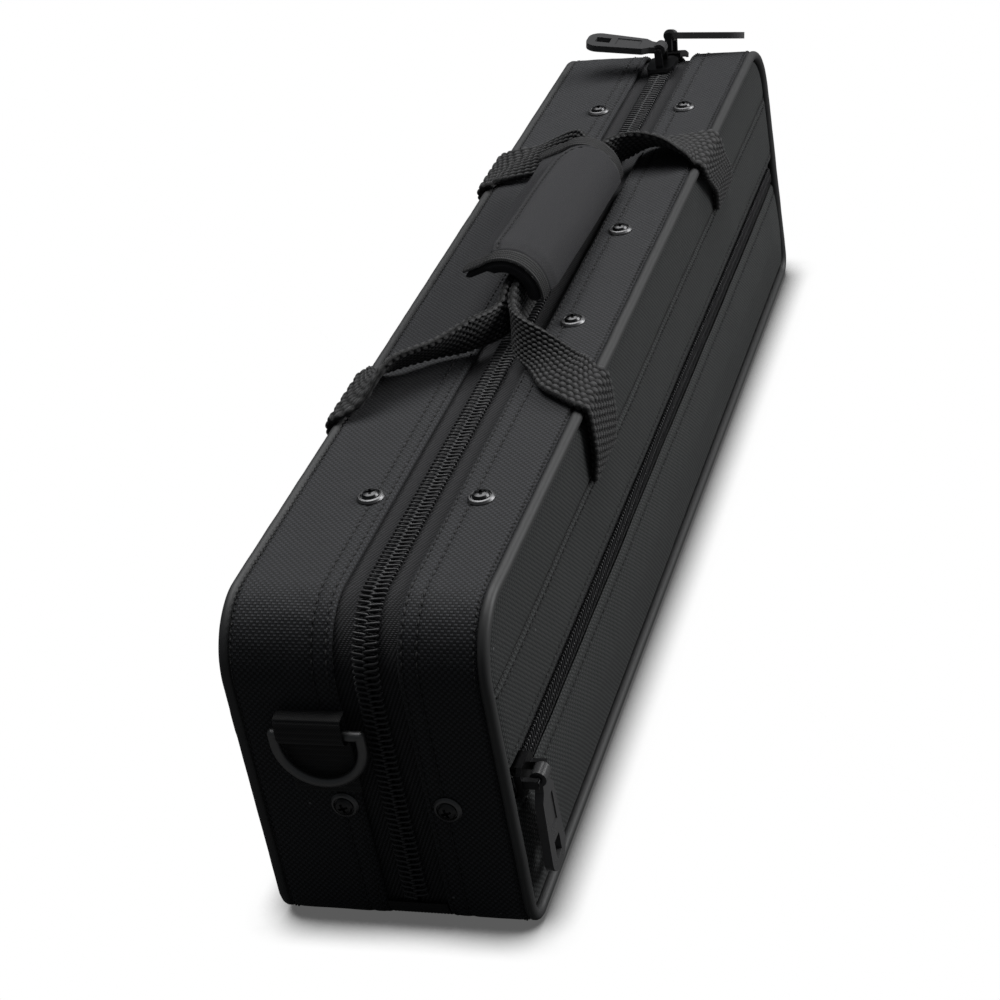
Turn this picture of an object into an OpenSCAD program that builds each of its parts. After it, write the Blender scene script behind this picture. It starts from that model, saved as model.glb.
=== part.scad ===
// Zipped flute case with a padded hard shell, a flat outer pocket and two web handles. Millimetres.
// +X runs along the case, the lid with the pocket is at -Y, the base is at +Y, +Z is up.
// The case stands on z = 0. The zip, the hinge tape and the joint of the halves share one plane.

/* [Case] */
// overall length, over the end faces
case_len = 423.6; // [400:0.2:460]
// overall height, from the flat it stands on to the top face
case_h = 105.8; // [100:0.2:125]
// distance between the centre lines of the two piping beads, across the case
bead_span = 75.4; // [70:0.2:90]
// radius of the two rounded corners at the top of the outline
corner_r = 21.8; // [18:0.2:26]
// radius of the two tighter corners at the bottom
foot_r = 9; // [9:0.2:14]
// where the zip runs across the case: the base half is the deeper one
zip_y = -4; // [-6:0.5:2]
// thickness of a piping bead
bead_d = 3.6; // [3:0.1:4.5]

/* [Layers] */
// cover fabric with its backing
fabric_t = 0.9; // [0.7:0.1:1.1]
// face panels: fabric with thin foam
panel_t = 1.3; // [1:0.1:1.5]
// wall of the moulded inner shells
shell_t = 3; // [2.4:0.1:3.4]
// depth of the shells' outside below the cover's outside
shell_in = 3.2; // [3.2:0.1:3.4]
// free space between soft layers
soft_gap = 0.3; // [0.2:0.05:0.35]
// free space between sliding or turning pieces
run_gap = 0.1; // [0.06:0.01:0.14]

/* [Main zip] */
// half width of the strip that the two folded cover edges leave open
zip_half = 9.4; // [9:0.1:11]
// how far each tape reaches under the cover
tape_reach = 13; // [12:0.5:13.5]
// pitch of the coil's turns
coil_pitch = 4; // [3:0.5:6]
// height at which the zip ends on both end faces
zip_end_z = 9; // [9:0.5:14]
// length of a slider
slider_len = 14.4; // [12:0.2:16]
// height of the slider's bail bar above the cover
bail_h = 8; // [7:0.5:10]
// length of a pull from its hinge to its tip
pull_len = 30; // [26:1:34]
// width of a pull at its tip
pull_w = 13.6; // [11:0.2:15]
// angle between the top and the second slider, round the corner
turn_a = 21; // [20:1:30]

/* [Pocket] */
// height of the pocket zip
pocket_z = 47.8; // [42:0.2:56]
// height of the seam that holds the strap ends
seam_z = 80.3; // [76:0.1:84]
// how far the lower pocket panel bulges
bulge = 2.4; // [1:0.2:3]
// how far the pocket slider waits from the near end face
pocket_in = 12.8; // [12.8:0.2:30]

/* [Screws] */
// distances of the screws on the top from the middle of the case
screw_x = [34, 142.5];
// how far the top screws' pattern sits from the middle, towards the near end
screw_off = 4.5; // [0:0.5:8]
// distance of a screw row from the case's middle plane, base half
screw_base_y = 12.2; // [12:0.2:20]
// distance of a screw row from the case's middle plane, lid half
screw_lid_y = -21.8; // [-24:0.2:-20]
// height of the screws on the end faces
screw_z = 44.2; // [36:0.2:44.6]
// shank of a screw
shank_d = 3; // [2.5:0.1:3.5]
// head of a screw
head_d = 5.4; // [5:0.1:5.6]
// cup washer under a screw
washer_d = 8.4; // [8:0.1:9]

/* [Rings] */
// wire of a D-ring
wire_d = 3; // [2.5:0.1:3.4]
// inner width of a D-ring
ring_w = 23; // [22:0.5:26]
// straight part of a D-ring's sides
ring_side = 3.4; // [3:0.1:6]
// width of the ring's web tab
tab_w = 20; // [18:0.5:20.5]
// height of the ring's bar
ring_z = 71; // [68:0.2:73]
// where the rings' tabs sit across the case
ring_y = 14; // [14:0.5:18]
// how far a ring has slid along its bar towards the zip
ring_slide = 1.2; // [0:0.1:1.2]

/* [Handle] */
// thickness of the strap web
web_t = 2; // [1.6:0.1:2.2]
// width of the strap web
web_w = 25; // [22:0.5:27]
// length of the grip
grip_len = 110; // [100:1:112]
// middle of the grip along the case
grip_x = 14; // [12:0.5:16]
// slope of the grip: its near end is the higher one
grip_tilt = 3; // [2:0.5:3.5]
// padding of the grip
grip_t = 4; // [3:0.2:4.4]

/* [Inside] */
// channel for the flute's body
body_len = 365; // [350:1:372]
// radius of the body's channel
body_r = 14; // [13:0.5:15]
// channel for the head joint
head_len = 228; // [220:1:232]
// radius of the head joint's channel
head_r = 12; // [11:0.5:13]
// channel for the foot joint
foot_len = 130; // [120:1:135]
// groove for the cleaning rod
rod_d = 9; // [8:0.5:11]
// how far the flute's channels go down
sink = 12; // [10:0.5:15]

/* [Hidden] */
$fn = 48;

hx = case_len / 2;
bead_r = bead_d / 2;
bead_y = bead_span / 2;
arc_n = 12;
arc_x = hx - corner_r;
arc_z = case_h - corner_r;
// planes across the case
face_out = bead_y + 0.5;
face_in = face_out - panel_t;
flange_out = face_in - 0.2;
flange_in = flange_out - 0.7;
bead_end = bead_y - bead_r - 0.2;
base_floor = flange_in - 0.4;
lid_floor = -(flange_in - 2.4);
rim_gap = 6.2;
face_inset = bead_d + soft_gap;
flange_inset = face_inset + 1.2;
in_shell = shell_in + shell_t;
fill_in = in_shell + soft_gap;
tape_top = 2.2;
tape_t = 0.6;
foam_out = fabric_t + 0.2;
foam_in = shell_in - soft_gap;
tooth_in = 0.65;
tooth_out = 3.7;
neck_w = 2 * (tooth_in - run_gap - 0.05);
shank_r = shank_d / 2;
big = 600;

// points of a quarter circle that starts at angle a
function quarter(x, z, r, a) =
  [for (i = [0 : arc_n]) [x + r * cos(a + 90 * i / arc_n), z + r * sin(a + 90 * i / arc_n)]];

// the rounded outline of the case, drawn in by a distance
function outline(d) = let (l = hx - d, r = corner_r - d, f = foot_r - d, t = case_h - d)
  concat(quarter(l - r, t - r, r, 0), quarter(r - l, t - r, r, 90),
    quarter(f - l, d + f, f, 180), quarter(l - f, d + f, f, 270));

// a plate with the case's outline, between two planes across the case
module slab(d, y0, y1) {
  translate([0, y1, 0]) rotate([90, 0, 0]) linear_extrude(height = y1 - y0) polygon(outline(d));
}

// a wall that follows the outline, between two depths and two planes
module wall(d0, d1, y0, y1) {
  translate([0, y1, 0]) rotate([90, 0, 0]) linear_extrude(height = y1 - y0) difference() {
    polygon(outline(d0));
    polygon(outline(d1));
  }
}

// everything above a height, and everything below one
module above(z) { translate([-big / 2, -big / 2, z]) cube([big, big, big]); }
module below(z) { translate([-big / 2, -big / 2, z - big]) cube([big, big, big]); }

// piping: an unbroken bead round the outline, with the sewn flange behind the face panel
module piping(side) {
  y = side * bead_y;
  foot_x = hx - foot_r;
  for (run = [[arc_x, case_h - bead_r], [foot_x, bead_r]]) {
    translate([-run[0], y, run[1]]) rotate([0, 90, 0]) cylinder(r = bead_r, h = 2 * run[0]);
  }
  for (s = [-1, 1]) {
    translate([s * (hx - bead_r), y, foot_r]) cylinder(r = bead_r, h = arc_z - foot_r);
  }
  // corners: [x, z, start angle, outline radius]
  for (c = [[arc_x, arc_z, 0, corner_r], [-arc_x, arc_z, 90, corner_r],
      [-foot_x, foot_r, 180, foot_r], [foot_x, foot_r, 270, foot_r]]) {
    translate([c[0], y, c[1]]) rotate([90, 0, 0]) rotate([0, 0, c[2]])
      rotate_extrude(angle = 90) translate([c[3] - bead_r, 0]) circle(r = bead_r);
  }
  if (side > 0) wall(bead_r + 0.6, flange_inset, flange_in, flange_out);
  else wall(bead_r + 0.6, flange_inset, -flange_out, -flange_in);
}

// one half of the coil: a sewn cord with the turns' heads across it, side +1 base, -1 lid
module coil(side, shift) {
  y0 = side > 0 ? zip_y + 1.3 : zip_y - 3.3;
  t0 = side > 0 ? zip_y + tooth_in : zip_y - tooth_out;
  tooth_l = tooth_out - tooth_in;
  intersection() {
    wall(0.9, 2.05, y0, y0 + 2);
    above(zip_end_z);
  }
  w = coil_pitch * 0.6;
  turn = 180 * coil_pitch / (PI * corner_r);
  translate([0, t0 + tooth_l, 0]) rotate([90, 0, 0]) linear_extrude(height = tooth_l) {
    for (s = [-1, 1]) {
      for (z = [zip_end_z + shift : coil_pitch : arc_z - 0.6 * coil_pitch]) {
        translate([s * (hx - 1.1) - 1, z]) square([2, w]);
      }
      for (a = [4 + 2 * shift : turn : 86]) {
        translate([s * arc_x, arc_z]) rotate([0, 0, 90 - s * a])
          translate([corner_r - 2.1, -w / 2]) square([2, w]);
      }
    }
    for (x = [-arc_x + 1 + shift : coil_pitch : arc_x - w]) {
      translate([x, case_h - 2.1]) square([w, 2]);
    }
  }
}

// half of the zip's tape, sewn under the cover's folded edge
module tape(side) {
  y0 = side > 0 ? zip_y + tooth_in : zip_y - tape_reach;
  intersection() {
    wall(tape_top, tape_top + tape_t, y0, y0 + tape_reach - tooth_in);
    above(zip_end_z - 3);
  }
}

// places of one half's screws: each is [x, y, z, turn about Y]
function screw_spots(y, yend) = concat(
  [for (s = [-1, 1], x = screw_x) [s * x - screw_off, y, case_h, 0]],
  [for (s = [-1, 1]) [s * hx, yend, screw_z, s * 90]]);
base_spots = screw_spots(screw_base_y, screw_base_y - 1.4);
lid_spots = screw_spots(screw_lid_y, screw_lid_y + 1.8);

module at_spots(spots) {
  for (p = spots) translate([p[0], p[1], p[2]]) rotate([0, p[3], 0]) children();
}

// the hole that a screw needs in a soft layer
module screw_holes(spots, r) {
  at_spots(spots) translate([0, 0, -12]) cylinder(r = r, h = 14);
}

module screw() {
  difference() {
    rotate_extrude() polygon([[0, -5.6], [shank_r * 0.5, -5.6], [shank_r, -4.8], [shank_r, 0.65],
      [head_d / 2, 0.65], [head_d / 2, 1.1], [head_d / 2 - 0.5, 1.8], [1.2, 2.15], [0, 2.2]]);
    for (a = [0, 90]) rotate([0, 0, a + 20]) translate([-1.5, -0.4, 1.2]) cube([3, 0.8, 2]);
  }
}

module cup_washer() {
  r = washer_d / 2;
  rotate_extrude() polygon([[shank_r + 0.15, 0.02], [r, 0.02], [r, 0.35], [r - 0.5, 0.95],
    [r - 1.05, 1.1], [head_d / 2 + 0.2, 0.62], [shank_r + 0.15, 0.62]]);
}

module cover_strip(spots, y0, y1, fold0, fold1) {
  difference() {
    union() {
      wall(0, fabric_t, y0, y1);
      wall(0, tape_top - soft_gap, fold0, fold1);
    }
    screw_holes(spots, shank_r + 0.2);
  }
}

// base half
module base_shell() color([0.10, 0.10, 0.11]) difference() {
  slab(shell_in, zip_y + rim_gap, base_floor);
  slab(in_shell, zip_y + rim_gap - 1, base_floor - shell_t);
  screw_holes(base_spots, shank_r + 0.05);
}

module base_wall_foam() color([0.25, 0.25, 0.26]) difference() {
  wall(foam_out, foam_in, zip_y + tape_reach + 0.4, base_floor - 0.2);
  screw_holes(base_spots, shank_r + 0.2);
}

module base_gusset() color([0.06, 0.06, 0.07])
  cover_strip(base_spots, zip_y + zip_half, bead_end, zip_y + zip_half, zip_y + zip_half + 2.2);

module base_face_cover() color([0.07, 0.07, 0.08]) slab(face_inset, face_in, face_out);

module base_piping() color([0.22, 0.22, 0.23]) piping(1);

module base_zip_tape() color([0.05, 0.05, 0.05]) tape(1);

module base_zip_coil() color([0.04, 0.04, 0.04]) coil(1, 0);

module foam_cradle() color([0.13, 0.10, 0.22]) {
  top = zip_y + 1;
  zb = case_h * 0.70;
  zl = case_h * 0.30;
  row = head_len + foot_len + 10;
  difference() {
    slab(fill_in, top, base_floor - shell_t - soft_gap);
    // the flute's body, with room for its keys
    translate([-body_len / 2, top + sink, zb]) rotate([0, 90, 0]) cylinder(r = body_r, h = body_len);
    translate([-body_len / 2, top - 1, zb - body_r]) cube([body_len, sink + 1, 2 * body_r]);
    translate([-body_len * 0.4, top - 1, zb - body_r - 4])
      cube([body_len * 0.8, sink + 1, 2 * body_r + 8]);
    // head joint and foot joint, in one row
    translate([-row / 2, top + sink, zl]) rotate([0, 90, 0]) cylinder(r = head_r, h = head_len);
    translate([-row / 2, top - 1, zl - head_r]) cube([head_len, sink + 1, 2 * head_r]);
    translate([row / 2 - foot_len, top + sink, zl]) rotate([0, 90, 0])
      cylinder(r = body_r - 1, h = foot_len);
    translate([row / 2 - foot_len, top - 1, zl - body_r + 1])
      cube([foot_len, sink + 1, 2 * body_r - 2]);
    // cleaning rod, and a hollow for the fingers
    translate([-160, top - 1, case_h / 2 - 1.5 - rod_d / 2]) cube([320, 8, rod_d]);
    translate([-30, top - 1, zl - head_r - 4]) cube([34, sink + 5, zb - zl + head_r + 4]);
  }
}

module base_screws() color([0.35, 0.35, 0.36]) at_spots(base_spots) screw();
module base_cup_washers() color([0.3, 0.3, 0.31]) at_spots(base_spots) cup_washer();

// a web tab: a sewn patch on the end face, with the loop that the ring's bar turns in
module ring_tab(s) {
  bar = hx + soft_gap + 1 + 0.4 + wire_d / 2;
  loop = wire_d / 2 + run_gap + 1.3;
  x0 = hx + soft_gap;
  y0 = ring_y - tab_w / 2;
  patch_z = screw_z + washer_d / 2 + 0.5;
  mirror([s < 0 ? 1 : 0, 0, 0]) difference() {
    union() {
      translate([x0, y0, patch_z]) cube([1, tab_w, ring_z + 6.2 - patch_z]);
      translate([x0, y0, ring_z + 1]) cube([2.2, tab_w, 5.2]);
      translate([bar, y0, ring_z]) rotate([-90, 0, 0]) cylinder(r = loop, h = tab_w);
    }
    translate([bar, y0 - 1, ring_z]) rotate([-90, 0, 0])
      cylinder(r = wire_d / 2 + run_gap, h = tab_w + 2);
    translate([hx - 5, y0 - 1, ring_z - 10]) cube([5 + soft_gap, tab_w + 2, 30]);
  }
}

module ring(s) {
  bar = hx + soft_gap + 1 + 0.4 + wire_d / 2;
  r = ring_w / 2 + wire_d / 2;
  w = wire_d / 2;
  z1 = ring_z - ring_side;
  mirror([s < 0 ? 1 : 0, 0, 0]) translate([bar, ring_y - ring_slide, 0]) {
    translate([0, -r, ring_z]) rotate([-90, 0, 0]) cylinder(r = w, h = 2 * r);
    for (k = [-1, 1]) {
      translate([0, k * r, z1]) cylinder(r = w, h = ring_side);
      translate([0, k * r, ring_z]) sphere(r = w);
    }
    translate([0, 0, z1]) rotate([90, 0, 90]) rotate([0, 0, 180])
      rotate_extrude(angle = 180) translate([r, 0]) circle(r = w);
  }
}

module near_ring_tab() color([0.08, 0.08, 0.08]) ring_tab(-1);
module far_ring_tab() color([0.08, 0.08, 0.08]) ring_tab(1);
module near_d_ring() color([0.3, 0.3, 0.3]) ring(-1);
module far_d_ring() color([0.3, 0.3, 0.3]) ring(1);

// the web hinge along the bottom, sewn to both halves and turned up at both ends
module hinge_tape() color([0.06, 0.06, 0.07]) intersection() {
  wall(0, fabric_t, zip_y - zip_half + soft_gap, zip_y + zip_half - soft_gap);
  below(zip_end_z - 0.3);
}

// lid half
module lid_shell() color([0.10, 0.10, 0.11]) difference() {
  slab(shell_in, lid_floor, zip_y - rim_gap);
  slab(in_shell, lid_floor + shell_t, zip_y - rim_gap + 1);
  screw_holes(lid_spots, shank_r + 0.05);
}

module lid_wall_foam() color([0.25, 0.25, 0.26]) difference() {
  wall(foam_out, foam_in, lid_floor + 0.2, zip_y - tape_reach - 0.4);
  screw_holes(lid_spots, shank_r + 0.2);
}

module lid_gusset() color([0.06, 0.06, 0.07])
  cover_strip(lid_spots, -bead_end, zip_y - zip_half, zip_y - zip_half - 2.2, zip_y - zip_half);

module lid_piping() color([0.22, 0.22, 0.23]) piping(-1);
module lid_zip_tape() color([0.05, 0.05, 0.05]) tape(-1);
module lid_zip_coil() color([0.04, 0.04, 0.04]) coil(-1, coil_pitch / 2);

module lid_pad() color([0.13, 0.10, 0.22]) slab(fill_in, lid_floor + shell_t + soft_gap, zip_y - 4);

module lid_screws() color([0.35, 0.35, 0.36]) at_spots(lid_spots) screw();
module lid_cup_washers() color([0.3, 0.3, 0.31]) at_spots(lid_spots) cup_washer();

// pocket on the lid's face
pocket_half = 6;
module pocket_lining() color([0.1, 0.1, 0.1]) slab(face_inset, lid_floor - 0.7, lid_floor - 0.3);

module pocket_top_panel() color([0.07, 0.08, 0.07]) intersection() {
  slab(face_inset, -face_out, -face_in);
  above(seam_z + 0.2);
}

module pocket_upper_panel() color([0.07, 0.08, 0.07]) intersection() {
  slab(face_inset, -face_out, -face_in);
  above(pocket_z + pocket_half);
  below(seam_z);
}

// the lower panel bulges between the bottom piping and the zip
bulge_n = 16;
function lift(i) = bulge * sin(180 * i / bulge_n);
module pocket_lower_panel() color([0.07, 0.08, 0.07]) {
  z0 = face_inset - 1;
  dz = (pocket_z - pocket_half - z0) / bulge_n;
  out = [for (i = [0 : bulge_n]) [-face_out - lift(i), z0 + dz * i]];
  inn = [for (i = [bulge_n : -1 : 0]) [-face_in - lift(i), z0 + dz * i]];
  intersection() {
    slab(face_inset, -face_out - bulge - 1, -face_in);
    translate([-big / 2, 0, 0]) rotate([90, 0, 90]) linear_extrude(height = big)
      polygon(concat(out, inn));
  }
}

p_half = hx - face_inset - 1.6;
p_tape_y = -face_in + soft_gap;
module pocket_tape(side) {
  z0 = side > 0 ? pocket_z + tooth_in : pocket_z - 9;
  translate([-p_half, p_tape_y, z0]) cube([2 * p_half, tape_t, 9 - tooth_in]);
}

module pocket_coil(side, shift) {
  zc = side > 0 ? pocket_z + 1.1 : pocket_z - 2.7;
  zt = side > 0 ? pocket_z + tooth_in : pocket_z - 3.1;
  w = coil_pitch * 0.6;
  translate([-p_half, p_tape_y - 1.2, zc]) cube([2 * p_half, 1.1, 1.6]);
  for (x = [-p_half + shift : coil_pitch : p_half - w]) {
    translate([x, p_tape_y - 1.8, zt]) cube([w, 1.7, 3.1 - tooth_in]);
  }
}

module pocket_tape_upper() color([0.05, 0.05, 0.05]) pocket_tape(1);
module pocket_tape_lower() color([0.05, 0.05, 0.05]) pocket_tape(-1);
module pocket_coil_upper() color([0.04, 0.04, 0.04]) pocket_coil(1, 0);
module pocket_coil_lower() color([0.04, 0.04, 0.04]) pocket_coil(-1, coil_pitch / 2);

// bail of a slider: two posts and the bar that the pull's eye turns on
module bail(low, h) {
  for (s = [-1, 1]) translate([s * 4.4 - 0.9, -1.4, low]) cube([1.8, 2.8, h - low + 0.8]);
  translate([-5, 0, h]) rotate([0, 90, 0]) cylinder(r = 1.1, h = 10);
}

// the outline of a slider's plate, narrower at its tail
module plate(len, w, t) {
  linear_extrude(height = t) polygon([[-len / 2, -w * 0.36], [-len * 0.3, -w / 2],
    [len * 0.35, -w / 2], [len / 2, -w * 0.3], [len / 2, w * 0.3], [len * 0.35, w / 2],
    [-len * 0.3, w / 2], [-len / 2, w * 0.36]]);
}

// a straight slider: top plate, side flanges, neck between the coils and plate under the tapes;
// on the main zip the lid's flange is only a lip, so that the lid can leave the slider
module slider(len, half, lift, under, under_t, h, open_lip) {
  w = 2 * half;
  deep = under - tape_t - 2 * soft_gap;
  translate([0, 0, lift]) plate(len, w, 1.6);
  translate([-len * 0.3, half - 1.1, -deep]) cube([len * 0.65, 1.1, deep + lift + 0.6]);
  translate([-len * 0.3, -half, open_lip ? 0.1 : -deep])
    cube([len * 0.65, 1.1, (open_lip ? -0.1 : deep) + lift + 0.6]);
  translate([0, 0, -under - under_t]) plate(len, w, under_t);
  translate([-len / 2 + 1, -neck_w / 2, -under - under_t + 0.1])
    cube([3, neck_w, under + under_t + lift + 0.4]);
  bail(lift + 1, h);
}

main_half = 5.4;
main_under = tape_top + tape_t + soft_gap;
a_x = arc_x - slider_len / 2 - 1.2;

module main_slider_a() color([0.16, 0.16, 0.17]) translate([a_x, zip_y, case_h])
  slider(slider_len, main_half, 0.35, main_under, 1.1, bail_h, true);

// the second slider stands on the rounded corner, so its plates are arcs
module main_slider_b() color([0.16, 0.16, 0.17]) translate([arc_x, zip_y, arc_z]) {
  half_a = 180 * slider_len / 2 / (PI * corner_r) - 0.4;
  rotate([90, 0, 0]) rotate([0, 0, 90 - turn_a - half_a]) rotate_extrude(angle = 2 * half_a) {
    translate([corner_r + 0.35, -main_half]) square([1.6, 2 * main_half]);
    translate([corner_r - main_under - 1.1, -main_half]) square([1.1, 2 * main_half]);
    translate([corner_r + 0.1, main_half - 1.1]) square([0.6, 1.1]);
    translate([corner_r - main_under + tape_t + 2 * soft_gap, -main_half])
      square([main_under - tape_t - 2 * soft_gap + 0.6, 1.1]);
  }
  rotate([90, 0, 0]) rotate([0, 0, 90 - turn_a + half_a - 9]) rotate_extrude(angle = 7)
    translate([corner_r - main_under - 1, -neck_w / 2]) square([main_under + 2, neck_w]);
  rotate([0, turn_a, 0]) translate([0, 0, corner_r]) bail(0.8, bail_h);
}

// a moulded pull: eye barrel at the origin, plate along +Y, a window near the tip
module pull(len) {
  r = 5;
  w = pull_w / 2;
  tip = [for (i = [0 : 6]) [w - r + r * cos(15 * i), len - r + r * sin(15 * i)]];
  tip2 = [for (i = [0 : 6]) [r - w - r * sin(15 * i), len - r + r * cos(15 * i)]];
  difference() {
    union() {
      rotate([0, 90, 0]) translate([0, 0, -2.6]) cylinder(r = 2.5, h = 5.2);
      translate([0, 0, -1.3]) linear_extrude(height = 2.6)
        polygon(concat([[2.6, 0.5], [3.4, 4], [5.4, 6.5]], tip, tip2,
          [[-5.4, 6.5], [-3.4, 4], [-2.6, 0.5]]));
    }
    rotate([0, 90, 0]) translate([0, 0, -4]) cylinder(r = 1.1 + run_gap, h = 8);
    translate([-2.4, len - 9.5, -2]) cube([4.8, 6, 4]);
    for (s = [-1, 1]) translate([-3.2, 8, s > 0 ? 0.9 : -1.4]) cube([6.4, 10, 0.5]);
  }
}

module main_pull_a() color([0.05, 0.05, 0.05])
  translate([a_x, zip_y, case_h + bail_h]) rotate([9, 0, 0]) pull(pull_len);
module main_pull_b() color([0.05, 0.05, 0.05])
  translate([arc_x, zip_y, arc_z]) rotate([0, turn_a, 0]) translate([0, 0, corner_r + bail_h])
    rotate([0, 0, 180]) rotate([-3, 0, 0]) pull(pull_len);

p_bail = 5.6;
pocket_x = pocket_in - hx;
module pocket_slider() color([0.16, 0.16, 0.17])
  translate([pocket_x, p_tape_y - 1.8, pocket_z]) rotate([90, 0, 0])
    slider(12, 4.8, 0.35, 1.8 + tape_t + soft_gap, 1, p_bail, false);
module pocket_pull() color([0.05, 0.05, 0.05])
  translate([pocket_x, p_tape_y - 1.8 - p_bail, pocket_z]) rotate([-90, 0, 0]) pull(pull_len + 2);

// straps: sections [middle, direction of the width, width] joined by a smooth curve
function spline(a, b, c, d, t) =
  0.5 * ((2 * b) + (c - a) * t + (2 * a - 5 * b + 4 * c - d) * t * t
    + (3 * b - a - 3 * c + d) * t * t * t);
function unit(v) = v / norm(v);
function pick(k, i) = k[max(0, min(len(k) - 1, i))];
steps = 4;
function swept(k, m) = concat(
  [for (i = [0 : len(k) - 2]) for (j = [0 : steps - 1])
    spline(pick(k, i - 1)[m], k[i][m], k[i + 1][m], pick(k, i + 2)[m], j / steps)],
  [k[len(k) - 1][m]]);

module strap(keys) {
  c = swept(keys, 0);
  w = swept(keys, 1);
  b = swept(keys, 2);
  n = len(c);
  dir = [for (i = [0 : n - 1]) unit(c[min(n - 1, i + 1)] - c[max(0, i - 1)])];
  nrm = [for (i = [0 : n - 1]) unit(cross(unit(w[i]), dir[i])) * web_t / 2];
  pts = [for (i = [0 : n - 1]) let (u = unit(w[i]) * b[i] / 2)
    for (q = [[1, 1], [-1, 1], [-1, -1], [1, -1]]) c[i] + q[0] * u + q[1] * nrm[i]];
  side = [for (i = [0 : n - 2], j = [0 : 3]) let (p = 4 * i + j, q = 4 * i + (j + 1) % 4)
    for (f = [[p, q, q + 4], [p, q + 4, p + 4]]) f];
  polyhedron(points = pts, faces = concat([[3, 2, 1], [3, 1, 0]], side,
    [[4 * n - 4, 4 * n - 3, 4 * n - 2], [4 * n - 4, 4 * n - 2, 4 * n - 1]]), convexity = 6);
}

// the grip's arch: its middle, and half its width and height
grip_c = [zip_y + 3, case_h + 7.4];
grip_a = 12;
grip_b = 12.8;
// heights and planes that the straps keep to
s_face = face_out + soft_gap + web_t / 2;
s_bead = bead_r + soft_gap + web_t / 2 + 0.25;
s_z0 = seam_z + 0.35;
s_edge = case_h + soft_gap + 0.65;
bead_top = case_h - bead_r;

// one leg up the face and over the bead: side -1 lid, +1 base
function leg(side, x0, x1, w0, w1) = let (u = [-side, 0, 0], y = side * bead_y) [
  [[x0, side * s_face, s_z0], u, w0],
  [[x0 + (x1 - x0) * 0.3, y + side * (s_bead + 0.1), s_z0 + 9], u, w0],
  [[x0 + (x1 - x0) * 0.8, y + side * (s_bead + 0.3), bead_top - 6], u, (w0 + w1) / 2],
  [[x1, y + side * s_bead, bead_top], u, w1],
  [[x1, y + side * s_bead * 0.72, bead_top + s_bead * 0.72], u, w1],
  [[x1, y, bead_top + s_bead + 0.1], u, w1]];

function flip(k) = [for (i = [len(k) - 1 : -1 : 0]) [k[i][0], -k[i][1], k[i][2]]];

// a section that lies across the top, with its lower edge clear of the case
function lie(x, y, w, b) = let (u = abs(unit(w)[2]))
  [[x, y, s_edge + b / 2 * u + web_t / 2 * sqrt(1 - u * u)], w, b];

// inside the grip each web stands on edge and fills the height up to the grip's ceiling
function tall(x) = grip_c[1] + (grip_b - grip_t) * 0.76 - (x - grip_x) * tan(grip_tilt)
  - soft_gap - s_edge;
function inside(x, y) = [[x, y, s_edge + tall(x) / 2], [0, 0, 1], tall(x)];
// beside the grip's ends the webs are on edge too, folded a little lower
function low(x, y) = lie(x, y, [0, 0, 1], 12.6);

// the whole web: a leg at each end, its turn onto the top, and the run through the grip
function turn(side, x, way, w) = lie(x, side * (bead_y - 4.5), [-0.97 * side * way, -0.2, 0.1], w);
function loop_keys(side, y_in, near, on, off, far) = concat(
  leg(side, near[0], near[1], near[2], near[3]), [turn(side, near[1] + 3, 1, near[3] - 3)], on,
  [low(-50, y_in + side * 0.6), inside(-38, y_in), inside(grip_x, y_in), inside(66, y_in),
    low(76, y_in + side * 0.3)],
  off, [turn(side, far[1] - 2, -1, far[3] - 3)],
  flip(leg(side, far[0], far[1], far[2], far[3])));

// the lid's web lies flat until it nears the grip; the base's web turns on edge at once
lid_in = zip_y - 1.6;
lid_on = [lie(-76, -27, [0.75, -0.5, 0.16], web_w), lie(-69.5, -21, [0.55, -0.65, 0.42], web_w - 7),
  lie(-60.5, -11, [0.25, -0.3, 0.92], web_w - 11)];
lid_off = [lie(84, lid_in - 5, [-0.3, -0.25, 0.9], web_w - 11),
  lie(89, lid_in - 14, [-0.65, -0.5, 0.5], web_w - 5), lie(92, -27, [-0.85, -0.45, 0.2], web_w)];
base_in = zip_y + 1.6;
base_on = [lie(-79.5, 27, [-0.62, -0.36, 0.68], web_w - 1),
  lie(-69, 14.5, [-0.5, -0.3, 0.8], web_w - 5), lie(-60, 4.5, [-0.2, -0.15, 0.96], web_w - 10)];
base_off = [lie(81, base_in + 6, [0.3, -0.25, 0.9], web_w - 11),
  lie(83, base_in + 14, [0.6, -0.45, 0.6], web_w - 6), lie(81, 27, [0.85, -0.5, 0.2], web_w)];

module lid_strap() color([0.09, 0.09, 0.09]) strap(loop_keys(-1, lid_in,
  [-84.5, -84.5, web_w + 2, 31], lid_on, lid_off, [111, 95, web_w + 1, 30]));
module base_strap() color([0.09, 0.09, 0.09]) strap(loop_keys(1, base_in,
  [-92, -88.5, web_w + 2, 34], base_on, base_off, [90, 82, web_w + 1, 30]));

// grip: an arch of padded cloth over both straps, open below, with a flat lip on its base side
lip_a = 62;
lip_len = 9.5;
lip_way = [0.94, -0.34];
function arch_at(d, a) = [grip_c[0] + (grip_a + d) * cos(a), grip_c[1] + (grip_b + d) * sin(a)];
function arch(d, a0, a1, n) = [for (i = [0 : n]) arch_at(d, a0 + (a1 - a0) * i / n)];

// a drawing across the grip, run along it between two lengths and tilted with it
module along_grip(x0, x1) {
  translate([grip_x, 0, grip_c[1]]) rotate([0, grip_tilt, 0]) translate([-grip_x, 0, -grip_c[1]])
    translate([x0, 0, 0]) rotate([90, 0, 90]) linear_extrude(height = x1 - x0) children();
}

// a layer between two distances outside the arch, from the lip's end to an angle on the lid side
module layer(d0, d1, a1) {
  polygon(concat([arch_at(d1, lip_a) + lip_len * lip_way], arch(d1, lip_a, a1, 24),
    arch(d0, a1, lip_a, 24), [arch_at(d0, lip_a) + lip_len * lip_way]));
}

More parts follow.
